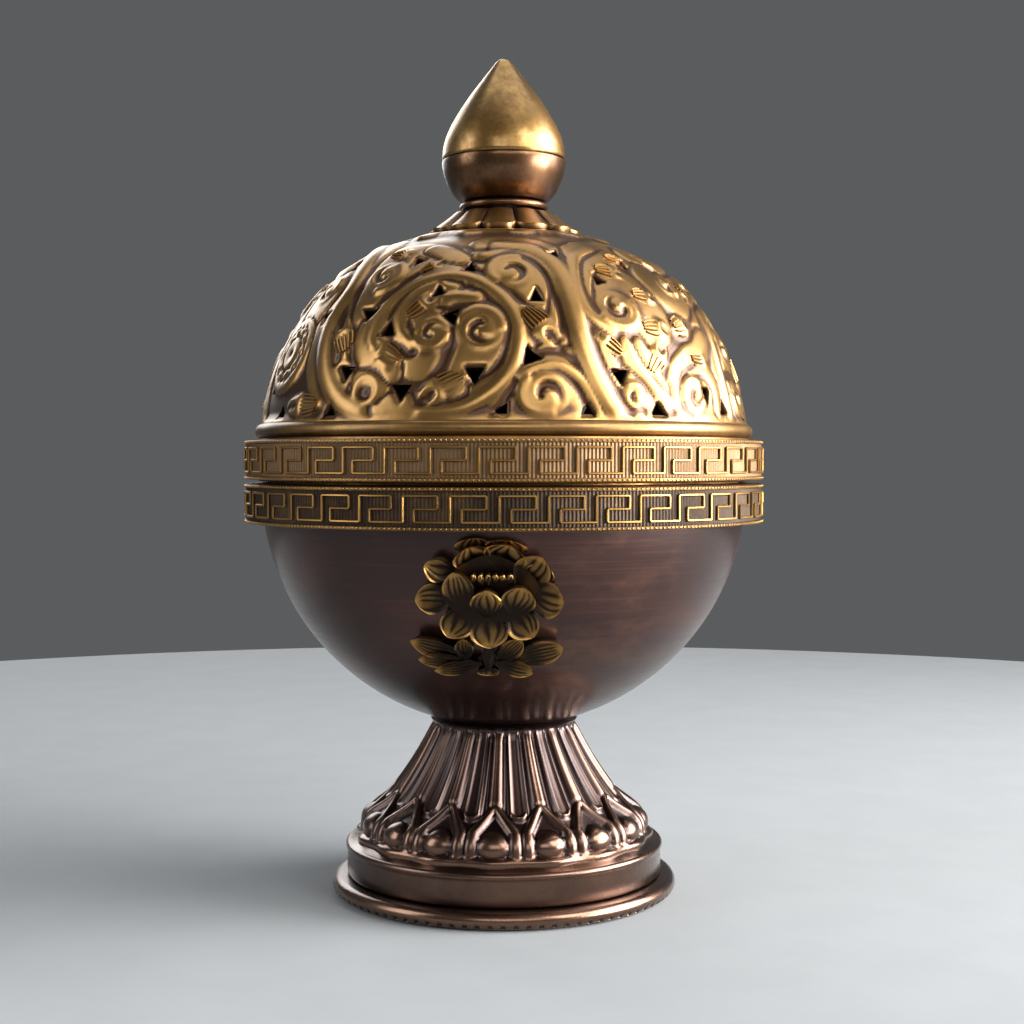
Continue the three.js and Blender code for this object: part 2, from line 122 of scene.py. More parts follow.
# Vines: half width at each end, then the places that the stem runs through.
VINES = (
    (1.9, 1.7, ((-60, 56), (-51, 50), (-45, 41), (-45, 31), (-42, 21), (-36, 13), (-28, 8.4))),
    (0.7, 0.5, ((-44, 37), (-42.4, 32), (-40.5, 26), (-38, 20.5))),
    (1.35, 1.2, ((-13, 8), (-4, 9.6), (3.4, 14.5), (7, 21), (7.3, 28.5), (3.6, 35.2), (-4, 40.4),
                 (-13, 41.8), (-21.5, 39), (-27.2, 33), (-28.8, 27), (-27, 22.3), (-22.5, 18.8))),
    (1.0, 1.0, ((-9, 38), (-15, 39), (-20, 36.6), (-22.2, 32.4), (-21, 27.6), (-17, 23.4))),
    (1.2, 1.3, ((-11, 35.2), (-7, 35.4), (-3, 34.9))),
    (1.0, 0.8, ((-24, 9.3), (-18, 9.2), (-11.5, 9.3), (-5, 12.6))),
    (1.3, 0.5, ((-2, 48.6), (6, 50), (13.5, 48), (17.6, 43.5), (19, 37), (19.3, 30), (18.5, 24))),
    (1.75, 1.75, ((2, 53), (13, 51.5), (19.5, 47), (21.8, 40), (22, 32), (22.3, 24), (24.4, 16),
                  (28.5, 8.2))),
    (1.2, 1.25, ((37, 53), (28.5, 49), (24.8, 43), (24, 36), (26.2, 30.5), (30.5, 27.4))),
    (1.0, 0.5, ((41, 50.5), (32.5, 47), (28.6, 42), (27.6, 36), (28.8, 31))),
    (1.2, 1.0, ((7.8, 16.2), (11.3, 18.6), (16.5, 18.8), (21, 15.6), (23.6, 11), (25, 8))),
    (0.7, 0.7, ((25.6, 27), (27.2, 21.6), (30, 15.2), (34.2, 8.2))),
    (0.9, 0.9, ((33.5, 25), (35, 20), (38.5, 15), (44, 10.5), (48, 8))),
    (0.8, 0.5, ((37.2, 25), (38.7, 20), (41.3, 15.6), (44, 13))),
    (1.0, 0.9, ((45.5, 9), (45, 14), (47.5, 18.4), (52.5, 21), (59, 23), (65, 27))),
    (0.9, 0.7, ((51, 17.6), (57, 18.6), (61, 15.5), (60.8, 10))),
    (1.3, 1.2, ((67, 8), (66.5, 14), (67.5, 21), (72, 30), (79, 35), (86, 33.5))),
    (1.2, 1.2, ((60, 52), (68, 49), (77, 48.5), (84, 50.5), (92, 54))),
    (1.2, 1.2, ((-90, 53), (-81, 49), (-72, 47.5), (-63, 48.5), (-56, 53))),
    (1.1, 0.9, ((-72.5, 8), (-75.5, 14), (-76, 20), (-79.5, 29.5))),
    (0.8, 0.8, ((-22, 52), (-14, 49.5), (-9, 47.5))),
    (1.2, 0.9, ((-79.5, 29.5), (-84, 30.5), (-90, 29.5), (-94.5, 33), (-93, 39), (-87, 45), (-79, 44.5))),
    (1.1, 0.8, ((-90, 8), (-91, 14), (-91.5, 20), (-89.5, 25.5), (-85, 28))),
    (1.0, 0.7, ((-98, 33.5), (-95.5, 40), (-95.5, 46), (-91, 50))),
    (0.9, 0.6, ((-77, 24), (-75.5, 31), (-74, 37), (-78, 41))),
)

# Scrolls: centre, outer reach, the heading where the stem enters, and the turns it makes.
SCROLLS = (
    (-1, 27, 4.5, 125, -1.35),
    (-12.7, 26.1, 3.3, -125, 1.35),
    (-33, 42.5, 4.2, -60, 1.3),
    (6.3, 42.7, 4.4, 100, 1.35),
    (34.6, 32.6, 4.3, -120, 1.6),
    (13, 12.3, 4.4, 165, 1.3),
    (33.4, 12.4, 2.3, 100, -1.25),
    (51.6, 12.8, 3.5, 160, -1.35),
    (-58, 39.8, 3.5, 120, -1.3),
    (76.5, 24.6, 4.2, 120, -1.4),
    (74.5, 12.6, 3.4, 200, 1.3),
    (80, 42, 3.6, -40, 1.3),
    (-80, 38, 4.2, 60, -1.3),
    (-84, 22, 3.9, -40, 1.3),
    (60.5, 41, 2.8, -30, 1.3),
)

# Rings: centre, reach to the middle of the rim, and the rim's half width.
RINGS = (
    (-27, 13.6, 2.3, 1.0),
    (-60.5, 23.4, 6.2, 0.7),
    (-60.5, 23.4, 2.2, 0.9),
)
MEDALLION_BEADS = 10
MEDALLION_BEAD_REACH = 4.3

# Leaves: base, tip, half width, and how many veins are cut in the wide end.
LEAVES = (
    (-12.8, 36.6, -20, 30.4, 2.3, 6),
    (-29.3, 24.8, -19.6, 20.2, 2.2, 6),
    (-14.2, 10.6, -4.4, 16.2, 2.4, 7),
    (-41.5, 31.6, -35.3, 22.4, 2.1, 6),
    (17.3, 23.2, 9, 32, 2.4, 7),
    (24.9, 27.2, 31.8, 21.6, 1.5, 4),
    (-54, 10.6, -41, 10.8, 2.0, 7),
    (44.5, 43, 32.8, 44.6, 2.0, 6),
    (51, 36.6, 41.3, 37, 1.8, 5),
    (50, 28.2, 40.2, 28.2, 2.4, 6),
    (45.6, 25, 38.8, 17.8, 2.0, 5),
    (59.5, 30.6, 51.3, 28.6, 2.1, 5),
    (63, 20.8, 53.6, 21.4, 1.5, 5),
    (66, 36.5, 73.5, 42.5, 2.0, 6),
    (86, 11, 83, 22.5, 2.1, 6),
    (-88, 11.5, -77.5, 11.5, 2.0, 6),
    (-68, 36.5, -73.5, 43, 2.0, 6),
    (-27, 50.5, -38, 50.6, 1.9, 6),
    (52, 48.6, 40.5, 49.4, 1.6, 5),
    (-14.5, 46.5, -20.5, 43.6, 1.5, 4),
)


# ------------------------------------------------------------------ sizes and finishes
class CenserSizes(bpy.types.PropertyGroup):
    """Sizes of the censer's surface work."""

    relief: FloatProperty(
        name="Dome Relief", description="How far the scrollwork stands over the dome's ground",
        default=1.05 * MM, min=0, unit="LENGTH", precision=5)
    vein: FloatProperty(
        name="Leaf Vein", description="Radius of each raised vein on the dome's leaves",
        default=0.2 * MM, min=0, unit="LENGTH", precision=5)
    keys: IntProperty(
        name="Keys", description="Key-pattern repeats round each band", default=38, min=4)
    key_line: FloatProperty(
        name="Key Line", description="Half width of the raised line of the key pattern",
        default=0.21 * MM, min=0, unit="LENGTH", precision=5)
    key_height: FloatProperty(
        name="Key Height", description="Height of the key pattern within its band",
        default=4.1 * MM, min=0, unit="LENGTH", precision=5)
    beads_per_key: IntProperty(
        name="Beads Per Key", description="Edge beads to each repeat of the key", default=9, min=1)
    flutes: IntProperty(
        name="Flutes", description="Flutes round the foot", default=16, min=3)
    ticks: IntProperty(
        name="Ticks", description="Cut marks round the foot's bead", default=90, min=3)
    collar_petals: IntProperty(
        name="Collar Petals", description="Petals round the crown", default=12, min=3)


class CenserFinishes(bpy.types.PropertyGroup):
    """Colours of the censer's metals."""

    brass: FloatVectorProperty(
        name="Rubbed Brass", description="Brass where it is rubbed bright",
        subtype="COLOR", size=3, min=0, max=1, default=(0.34, 0.186, 0.056))
    brass_patina: FloatVectorProperty(
        name="Brass Patina", description="Brown of the brass in its hollows",
        subtype="COLOR", size=3, min=0, max=1, default=(0.062, 0.028, 0.012))
    gold: FloatVectorProperty(
        name="Finial Brass", description="The brighter brass of the finial",
        subtype="COLOR", size=3, min=0, max=1, default=(0.42, 0.255, 0.082))
    brown: FloatVectorProperty(
        name="Finial Brown", description="The browned brass of the finial's cup and neck",
        subtype="COLOR", size=3, min=0, max=1, default=(0.17, 0.085, 0.036))
    upper_ground: FloatVectorProperty(
        name="Upper Ground", description="Ground behind the key pattern of the lid's band",
        subtype="COLOR", size=3, min=0, max=1, default=(0.145, 0.088, 0.048))
    lower_ground: FloatVectorProperty(
        name="Lower Ground", description="Ground behind the key pattern of the bowl's band",
        subtype="COLOR", size=3, min=0, max=1, default=(0.040, 0.028, 0.021))
    copper: FloatVectorProperty(
        name="Bowl Copper", description="Dark brown patina of the bowl",
        subtype="COLOR", size=3, min=0, max=1, default=(0.036, 0.016, 0.013))
    copper_red: FloatVectorProperty(
        name="Red Copper", description="Redder blotches in the copper's patina",
        subtype="COLOR", size=3, min=0, max=1, default=(0.080, 0.027, 0.019))
    copper_rubbed: FloatVectorProperty(
        name="Rubbed Copper", description="Orange brown where the copper is rubbed",
        subtype="COLOR", size=3, min=0, max=1, default=(0.16, 0.080, 0.046))
    steel: FloatVectorProperty(
        name="Plated Steel", description="Bolts, nuts and washers inside",
        subtype="COLOR", size=3, min=0, max=1, default=(0.42, 0.40, 0.36))
    floor: FloatVectorProperty(
        name="Floor", description="The plain pale floor",
        subtype="COLOR", size=3, min=0, max=1, default=(0.28, 0.293, 0.302))


# ------------------------------------------------------------------ node trees
class Value:
    """A number output in a node tree. Arithmetic on it adds Math nodes."""

    def __init__(self, nodes, socket):
        self.nodes = nodes
        self.socket = socket

    def math(self, operation, *operands):
        return self.nodes.add("ShaderNodeMath", {"operation": operation}, dict(enumerate(operands)))

    def __add__(self, other):
        return self.math("ADD", self, other)

    def __sub__(self, other):
        return self.math("SUBTRACT", self, other)

    def __rsub__(self, other):
        return self.math("SUBTRACT", other, self)

    def __mul__(self, other):
        return self.math("MULTIPLY", self, other)

    def __truediv__(self, other):
        return self.math("DIVIDE", self, other)

    def __pow__(self, other):
        return self.math("POWER", self, other)

    __radd__ = __add__
    __rmul__ = __mul__

    def step(self, low, high):
        """0 below low and 1 above high, smooth between them."""
        return self.nodes.add(
            "ShaderNodeMapRange",
            {"interpolation_type": "SMOOTHSTEP"},
            {"Value": self, "From Min": low, "From Max": high},
        )


class Nodes:
    """A node tree to which each call adds one node, its settings first and its inputs after."""

    def __init__(self, tree):
        self.tree = tree

    def add(self, kind, settings=None, inputs=None, output=0):
        node = self.tree.nodes.new(kind)
        for name, setting in (settings or {}).items():
            setattr(node, name, setting)
        for name, given in (inputs or {}).items():
            if isinstance(given, Value):
                self.tree.links.new(given.socket, node.inputs[name])
            else:
                node.inputs[name].default_value = given
        return None if output is None else Value(self, node.outputs[output])

    def mix(self, factor, first, second):
        """A colour between two colours."""
        colours = {6: rgba(first), 7: rgba(second)}
        return self.add("ShaderNodeMix", {"data_type": "RGBA"}, {0: factor, **colours}, output=2)

    def end_in(self, surface, kind="ShaderNodeOutputMaterial", socket="Surface"):
        """Ends the tree in an output node."""
        self.add(kind, None, {socket: surface}, output=None)

    def noise(self, place, scale, detail=3.0, roughness=0.55, distortion=0.0):
        amounts = {"Scale": scale, "Detail": detail, "Roughness": roughness, "Distortion": distortion}
        return self.add("ShaderNodeTexNoise", None, {"Vector": place, **amounts})

    def stretch(self, place, scale):
        """The same places, scaled unevenly, so that a texture on them is drawn out."""
        return self.add("ShaderNodeVectorMath", {"operation": "MULTIPLY"}, {0: place, 1: scale})


def rgba(colour):
    """A colour socket's value, with its alpha."""
    return colour if isinstance(colour, Value) else (*colour[:3], 1.0)


def shader(name):
    """A new material, its node builder, and the place of each point in its object."""
    material = bpy.data.materials.new(name)
    material.use_nodes = True
    material.node_tree.nodes.clear()
    nodes = Nodes(material.node_tree)
    place = nodes.add("ShaderNodeTexCoord", output=3)
    return material, nodes, place


def patinated(name, bright, dark, roughness=(0.3, 0.5), tone=None, coat=0.0, speckle=0.3, bump=0.25):
    """Old polished metal: dark in its hollows and bright where it is rubbed.

    Tone names the attribute that says how rubbed each point is, and on the lotus badges also where shade
    and highlight are painted, or is None for a plain turned piece. Speckle is the share of fine specks and
    pits in the colour."""
    material, nodes, place = shader(name)
    blotches = nodes.noise(place, 55, detail=5)
    specks = nodes.noise(place, 420, detail=5, roughness=0.75)
    rubbed = blotches * (1 - speckle) + specks * speckle
    if tone is not None:
        # On the lotus badges the tone also carries painted shade and highlight.
        wear_and_shade = nodes.add("ShaderNodeAttribute", {"attribute_name": tone}, output=2)
        rubbed = wear_and_shade * 0.8 + rubbed * 0.8 - 0.27
    rubbed = rubbed.step(0.25, 0.75) if tone is not None else rubbed.step(0.36, 0.64)
    pits = nodes.noise(place, 1300, detail=3).step(0.63, 0.72) * speckle
    colour = nodes.mix(rubbed * (1 - pits), dark, bright)
    smooth = nodes.noise(place, 130, detail=6).step(0.3, 0.7)
    dull = (1 - rubbed) * 0.6 + smooth * 0.4
    surface = {
        "Base Color": colour,
        "Metallic": 1.0,
        "Roughness": roughness[0] + dull * (roughness[1] - roughness[0]),
        "Coat Weight": coat,
        "Coat Roughness": 0.25,
    }
    finish_surface(nodes, surface, nodes.noise(place, 900, detail=5), bump)
    return material


def finish_surface(nodes, surface, height, strength, distance=0.1 * MM):
    """Ends a metal's tree in its shader, with a fine bump from a height."""
    fine = {"Strength": strength, "Distance": distance, "Height": height}
    bump = nodes.add("ShaderNodeBump", None, fine)
    nodes.end_in(nodes.add("ShaderNodeBsdfPrincipled", None, {"Normal": bump, **surface}))


def bowl_copper(finishes):
    """Smooth copper under a dark brown patina, brushed round and blotched red."""
    material, nodes, place = shader("brushed_bowl_copper")
    brushing = nodes.noise(nodes.stretch(place, (40, 40, 2600)), 1, detail=3)
    blotches = nodes.noise(nodes.stretch(place, (30, 30, 45)), 1, detail=4, distortion=0.6)
    specks = nodes.noise(place, 700, detail=3)
    red = (blotches * 0.8 + brushing * 0.25).step(0.45, 0.75)
    patina = nodes.mix(red, finishes.copper, finishes.copper_red)
    patches = nodes.noise(nodes.stretch(place, (38, 38, 70)), 1, detail=5, roughness=0.65)
    rubbed = specks.step(0.68, 0.8) * 0.25 + brushing.step(0.6, 0.8) * 0.12 + patches.step(0.5, 0.72) * 0.4
    surface = {
        "Base Color": nodes.mix(rubbed, patina, rgba(finishes.copper_rubbed)),
        "Metallic": 0.75,
        "Roughness": 0.26 + brushing * 0.16,
        "Coat Weight": 0.35,
        "Coat Roughness": 0.16,
    }
    finish_surface(nodes, surface, brushing + specks * 0.3, 0.12)
    return material


# ------------------------------------------------------------------ meshes
def mesh_from(name, points, faces, tone=None):
    """A mesh from points and faces, with each point's tone: how rubbed it is, and on the lotus badges
    painted shade and highlight too.
    """
    mesh = bpy.data.meshes.new(name)
    mesh.from_pydata([tuple(point) for point in points], [], faces)
    if tone is not None:
        mesh.attributes.new("tone", "FLOAT", "POINT").data.foreach_set("value", tone)
    return mesh


def joined(name, parts):
    """One mesh from (points, faces, tone) parts."""
    points = np.concatenate([part[0] for part in parts])
    tone = np.concatenate([part[2] for part in parts])
    faces = []
    first = 0
    for part in parts:
        faces += [tuple(corner + first for corner in face) for face in part[1]]
        first += len(part[0])
    return mesh_from(name, points, faces, tone)


def grid_faces(rows, columns, closed_rows=False, closed_columns=False):
    """Quads of a grid whose points run along each row in turn."""
    faces = []
    for row in range(rows if closed_rows else rows - 1):
        above = (row + 1) % rows
        for column in range(columns if closed_columns else columns - 1):
            beside = (column + 1) % columns
            quad = (row, column), (row, beside), (above, beside), (above, column)
            faces.append(tuple(r * columns + c for r, c in quad))
    return faces


def smoothed(outline, samples):
    """A curve through the outline's points, with its samples spread evenly along it."""
    points = np.asarray(outline, float)
    ends = np.concatenate([[2 * points[0] - points[1]], points, [2 * points[-1] - points[-2]]])
    fine = []
    for i in range(len(points) - 1):
        a, b, c, d = ends[i:i + 4]
        t = np.linspace(0, 1, 24, endpoint=False)[:, None]
        fine.append(b + 0.5 * t * (c - a + t * (2 * a - 5 * b + 4 * c - d + t * (3 * (b - c) + d - a))))
    fine = np.concatenate([*fine, points[-1:]])
    along = np.concatenate([[0], np.cumsum(np.linalg.norm(np.diff(fine, axis=0), axis=1))])
    wanted = np.linspace(0, along[-1], samples)
    return np.stack([np.interp(wanted, along, fine[:, axis]) for axis in range(fine.shape[1])], axis=1)


def arc(centre_radius, centre_z, radius, start, end, samples):
    """Points along a circular arc in the turning plane, angles in degrees from the horizontal."""
    angles = np.radians(np.linspace(start, end, samples))
    return np.stack([centre_radius + radius * np.cos(angles), centre_z + radius * np.sin(angles)], axis=1)


def turned(outline, columns, reach=None):
    """Points, faces and tone of an outline turned about Z. Points on the axis become poles.

    Reach, if given, is the most that a point may be from the axis at each angle."""
    outline = np.concatenate([np.atleast_2d(part) for part in outline])
    radii, heights = outline.T
    area = np.sum(radii * np.roll(heights, -1) - np.roll(radii, -1) * heights)
    if area < 0:
        radii, heights = radii[::-1], heights[::-1]
    poled = radii[0] == 0 and radii[-1] == 0
    angles = np.arange(columns) * TURN / columns
    radius = np.repeat(radii[:, None], columns, axis=1)
    if reach is not None:
        radius = np.minimum(radius, reach(angles)[None, :])
    height = np.repeat(heights[:, None], columns, axis=1)
    points = np.stack([radius * np.cos(angles), radius * np.sin(angles), height], axis=2).reshape(-1, 3)
    faces = grid_faces(len(radii), columns, not poled, True)
    return points, faces, np.full(len(points), 0.5)


def lathe(name, outline, columns, reach=None):
    """A turned mesh, with its poles closed and its points merged."""
    points, faces, tone = turned(outline, columns, reach)
    return welded(mesh_from(name, points, faces, tone))


def welded(mesh, distance=0.002 * MM, outwards=False):
    """The mesh with its doubled points merged and, if asked, every face turned outwards."""
    shape = bmesh.new()
    shape.from_mesh(mesh)
    bmesh.ops.remove_doubles(shape, verts=shape.verts, dist=distance)
    if outwards:
        bmesh.ops.recalc_face_normals(shape, faces=shape.faces)
    shape.to_mesh(mesh)
    shape.free()
    return mesh


def add_piece(name, mesh, body, nodes, material, crease=50):
    """Shows a finished mesh in place of its CAD nodes, riding on its body."""
    mesh.materials.clear()
    mesh.materials.append(material)
    mesh.shade_smooth()
    mesh.set_sharp_from_angle(angle=math.radians(crease))
    piece = bpy.data.objects.new(name, mesh)
    bpy.context.scene.collection.objects.link(piece)
    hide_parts(*nodes)
    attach(piece, body)
    return piece


# ------------------------------------------------------------------ geometry nodes
def new_tree(name, sizes):
    """An empty Geometry Nodes tree with a mesh input, named inputs for its sizes, and a material."""
    tree = bpy.data.node_groups.new(name, "GeometryNodeTree")
    tree.interface.new_socket("Geometry", in_out="INPUT", socket_type="NodeSocketGeometry")
    for size, kind in sizes.items():
        tree.interface.new_socket(size, in_out="INPUT", socket_type=kind)
    tree.interface.new_socket("Material", in_out="INPUT", socket_type="NodeSocketMaterial")
    tree.interface.new_socket("Geometry", in_out="OUTPUT", socket_type="NodeSocketGeometry")
    nodes = Nodes(tree)
    given = tree.nodes.new("NodeGroupInput")
    inputs = {socket.name: Value(nodes, socket) for socket in given.outputs if socket.name}
    return tree, nodes, inputs


def turned_copies(nodes, unit, count):
    """Instances of a unit, evenly turned about the Z axis."""
    spots = nodes.add("GeometryNodePoints", None, {"Count": count})
    turn = nodes.add("GeometryNodeInputIndex") * TURN / count
    euler = nodes.add("ShaderNodeCombineXYZ", None, {"Z": turn})
    rotation = nodes.add("FunctionNodeEulerToRotation", None, {"Euler": euler})
    units = {"Points": spots, "Instance": unit, "Rotation": rotation}
    return nodes.add("GeometryNodeInstanceOnPoints", None, units)


def end_tree(nodes, geometry, inputs):
    real = nodes.add("GeometryNodeRealizeInstances", None, {"Geometry": geometry})
    if "Weld" in inputs:
        real = nodes.add("GeometryNodeMergeByDistance", None, {"Geometry": real, "Distance": inputs["Weld"]})
    painted = nodes.add("GeometryNodeSetMaterial", None, {"Geometry": real, "Material": inputs["Material"]})
    nodes.end_in(painted, "NodeGroupOutput", "Geometry")


def repeat_round_tree():
    """Repeats a unit round the Z axis, then welds the units to each other."""
    name = "Repeat Round"
    if name in bpy.data.node_groups:
        return bpy.data.node_groups[name]
    tree, nodes, inputs = new_tree(name, {"Count": "NodeSocketInt", "Weld": "NodeSocketFloat"})
    end_tree(nodes, turned_copies(nodes, inputs["Geometry"], inputs["Count"]), inputs)
    return tree


def ribs_round_tree():
    """Runs a round rib along each path of a unit, and repeats the unit round the Z axis."""
    name = "Ribs Round"
    if name in bpy.data.node_groups:
        return bpy.data.node_groups[name]
    sizes = {"Count": "NodeSocketInt", "Radius": "NodeSocketFloat", "Sides": "NodeSocketInt"}
    tree, nodes, inputs = new_tree(name, sizes)
    paths = nodes.add("GeometryNodeMeshToCurve", None, {"Mesh": inputs["Geometry"]})
    round_section = {"Resolution": inputs["Sides"], "Radius": inputs["Radius"]}
    section = nodes.add("GeometryNodeCurvePrimitiveCircle", None, round_section)
    swept = {"Curve": paths, "Profile Curve": section, "Fill Caps": True}
    ribs = nodes.add("GeometryNodeCurveToMesh", None, swept)
    end_tree(nodes, turned_copies(nodes, ribs, inputs["Count"]), inputs)
    return tree


def grown(mesh, tree, material, values):
    """The plain mesh that a tree makes from another, with the tree's named inputs set."""
    carrier = bpy.data.objects.new(mesh.name, mesh)
    bpy.context.scene.collection.objects.link(carrier)
    modifier = carrier.modifiers.new(tree.name, "NODES")
    modifier.node_group = tree
    for item in tree.interface.items_tree:
        if item.name in values:
            modifier[item.identifier] = values[item.name]
        if item.name == "Material":
            modifier[item.identifier] = material
    graph = bpy.context.evaluated_depsgraph_get()
    made = bpy.data.meshes.new_from_object(carrier.evaluated_get(graph))
    carrier.modifiers.remove(modifier)
    bpy.data.objects.remove(carrier)
    return made


def repeated_round(mesh, count, material, weld=0.004 * MM):
    return grown(mesh, repeat_round_tree(), material, {"Count": count, "Weld": weld})


def ribbed_round(name, paths, count, radius, material, sides=8):
    """Ribs along paths of points, with the whole set repeated round the Z axis."""
    points = np.concatenate(paths)
    edges = []
    first = 0
    for path in paths:
        edges += [(i, i + 1) for i in range(first, first + len(path) - 1)]
        first += len(path)
    mesh = bpy.data.meshes.new(name)
    mesh.from_pydata([tuple(point) for point in points], edges, [])
    made = grown(mesh, ribs_round_tree(), material, {"Count": count, "Radius": radius, "Sides": sides})
    made.attributes.new("tone", "FLOAT", "POINT").data.foreach_set("value", np.ones(len(made.vertices)))
    return made


# ------------------------------------------------------------------ places on a sphere
def unit_vectors(azimuth, latitude):
    """Directions from azimuths, from the front (-Y) towards +X, and latitudes, in radians."""
    flat = np.cos(latitude)
    return np.stack([flat * np.sin(azimuth), -flat * np.cos(azimuth), np.sin(latitude)], axis=-1)


def smoothstep(low, high, value):
    t = np.clip((value - low) / (high - low), 0, 1)
    return t * t * (3 - 2 * t)


# ------------------------------------------------------------------ dome relief
STEP = 0.3 * MM
FULLNESS = 1.38  # how much wider than its drawn line each stem is beaten out
SWELL_REACH = 2.3  # how far a stem lifts the sheet round it, in half widths
SWELL_HEIGHT = 0.55 * MM


def stroke(first_width, last_width, places, lift=0.5):
    """A rounded stem along places, as (azimuth, latitude, half width, height) samples."""
    span = sum(math.dist(a, b) for a, b in zip(places, places[1:])) * math.radians(1) * DOME_RADIUS
    line = smoothed(places, max(int(span / STEP), 4))
    width = np.linspace(first_width, last_width, len(line)) * FULLNESS * MM
    return np.column_stack([line, width, np.minimum(width * lift, 1.02 * MM)])


def about(azimuth, latitude, reach, heading):
    """Places at reaches (in millimetres) and headings (in degrees) from a centre."""
    degrees = np.degrees(np.asarray(reach) * MM / DOME_RADIUS)
    across = degrees * np.cos(np.radians(heading)) / math.cos(math.radians(latitude))
    return np.stack([azimuth + across, latitude + degrees * np.sin(np.radians(heading))], axis=1)


def scroll_cushion(azimuth, latitude, reach, heading, turns):
    """The round cushion that a scroll's groove is cut in, and the stem that leads on to it."""
    t = np.linspace(0, 0.3, 14)
    places = about(azimuth, latitude, reach * (0.86 - 0.5 * t), heading + 360 * turns * (t - 0.05))
    width = np.full(len(t), reach * 0.36 * MM)
    stem = np.column_stack([places, width, np.full(len(t), 1.0 * MM)])
    return np.concatenate([stem, [[azimuth, latitude, reach * 1.2 * MM, 1.05 * MM]]])


def scroll_groove(azimuth, latitude, reach, heading, turns):
    """The groove that winds in over a scroll's cushion and leaves a round eye."""
    t = np.linspace(0, 1, int(40 + abs(turns) * reach * 16))
    winding = reach * (0.2 + 0.5 * (1 - t) ** 1.4)
    places = about(azimuth, latitude, winding, heading + 360 * turns * (0.25 + 0.6 * t))
    width = reach * (0.11 + 0.1 * np.sin(np.pi * t)) * MM
    return np.column_stack([places, width, 0.66 * MM * smoothstep(0, 0.55, t)])


def ring_samples(azimuth, latitude, reach, half_width):
    headings = np.arange(0, 360, math.degrees(STEP / (reach * MM)))
    places = about(azimuth, latitude, np.full(len(headings), reach), headings)
    width = np.full(len(places), half_width * MM)
    return np.column_stack([places, width, width * 0.7])


def medallion_beads():
    azimuth, latitude = RINGS[1][:2]
    headings = np.arange(MEDALLION_BEADS) * 360 / MEDALLION_BEADS
    places = about(azimuth, latitude, np.full(MEDALLION_BEADS, MEDALLION_BEAD_REACH), headings)
    return np.column_stack([places, np.full(len(places), 0.95 * MM), np.full(len(places), 0.8 * MM)])


VEIN_BED = 0.3 * MM  # how far a leaf's veined end is sunk


class Leaf:
    """A leaf that lies from its base to its tip, with a drop-shaped eye in its narrow end."""

    def __init__(self, base_azimuth, base_latitude, tip_azimuth, tip_latitude, half_width, veins):
        self.middle = math.radians((base_latitude + tip_latitude) / 2)
        base = self.flat(base_azimuth, base_latitude)
        tip = self.flat(tip_azimuth, tip_latitude)
        self.base = base - 0.08 * (tip - base)
        tip = tip + 0.08 * (tip - base)
        self.length = math.dist(self.base, tip)
        self.axis = (tip - self.base) / self.length
        self.half_width = half_width * 1.2 * MM
        self.veins = veins
        self.box = (
            min(base_azimuth, tip_azimuth), max(base_azimuth, tip_azimuth),
            min(base_latitude, tip_latitude), max(base_latitude, tip_latitude),
        )

    def flat(self, azimuth, latitude):
        """Degrees to metres on the dome's surface, near the leaf."""
        metre = math.radians(1) * DOME_RADIUS
        across = np.asarray(azimuth) * metre * math.cos(self.middle)
        return np.stack([across, np.asarray(latitude) * metre], axis=-1)

    def place(self, along, across):
        """Azimuth and latitude at shares of the leaf's length and half width."""
        side = np.array([-self.axis[1], self.axis[0]])
        width = self.half_width * leaf_width(along)
        point = self.base + np.outer(along * self.length, self.axis) + np.outer(across * width, side)
        metre = math.radians(1) * DOME_RADIUS
        return point[:, 0] / (metre * math.cos(self.middle)), point[:, 1] / metre

    def height(self, azimuth, latitude):
        offset = self.flat(azimuth, latitude) - self.base
        along = offset @ self.axis / self.length
        across = offset @ np.array([-self.axis[1], self.axis[0]])
        width = self.half_width * leaf_width(along)
        share = np.clip(1 - (across / np.maximum(width, 1e-6)) ** 2, 0, 1) * (width > 1e-6)
        cushion = 0.85 * MM * share ** 0.55 * smoothstep(-0.02, 0.25, along)
        eye = ((along - 0.27) / 0.17) ** 2 + (across / (self.half_width * 0.36)) ** 2
        veined = smoothstep(0.48, 0.58, along) * smoothstep(0.99, 0.92, along) * smoothstep(0.08, 0.3, share)
        return cushion - 0.55 * MM * smoothstep(1.15, 0.45, eye) - VEIN_BED * veined


def leaf_width(along):
    """A leaf's width at shares of its length: narrow at the base, wide and round at the tip."""
    inside = np.clip(along, 0, 1)
    return np.sin(np.pi * inside ** 1.25) ** 0.55


def motif_list():
    """Everything that stands on one half of the dome, as samples of its centre lines."""
    motifs = [stroke(*vine) for vine in VINES]
    motifs += [scroll_cushion(*curl) for curl in SCROLLS]
    motifs += [ring_samples(*circle) for circle in RINGS]
    motifs.append(medallion_beads())
    return motifs


def near_motif(azimuth, latitude, box, margin):
    """Which places are within a margin, in degrees, of a motif's box."""
    spread = margin / math.cos(math.radians(min(box[3], 70)))
    beside = (azimuth > box[0] - spread) & (azimuth < box[1] + spread)
    return beside & (latitude > box[2] - margin) & (latitude < box[3] + margin)


def near_samples(motif, azimuth, latitude, vectors, margin):
    """Which places are near a motif in each half of the dome that it touches.

    Gives also each near place's distance from each sample, in half widths, squared."""
    for shift in (-180, 0, 180):
        along = motif[:, 0] + shift
        box = along.min(), along.max(), motif[:, 1].min(), motif[:, 1].max()
        near = near_motif(azimuth, latitude, box, margin)
        if near.any():
            samples = unit_vectors(np.radians(along), np.radians(motif[:, 1]))
            yield near, (2 - 2 * vectors[near] @ samples.T) * (DOME_RADIUS / motif[:, 2]) ** 2


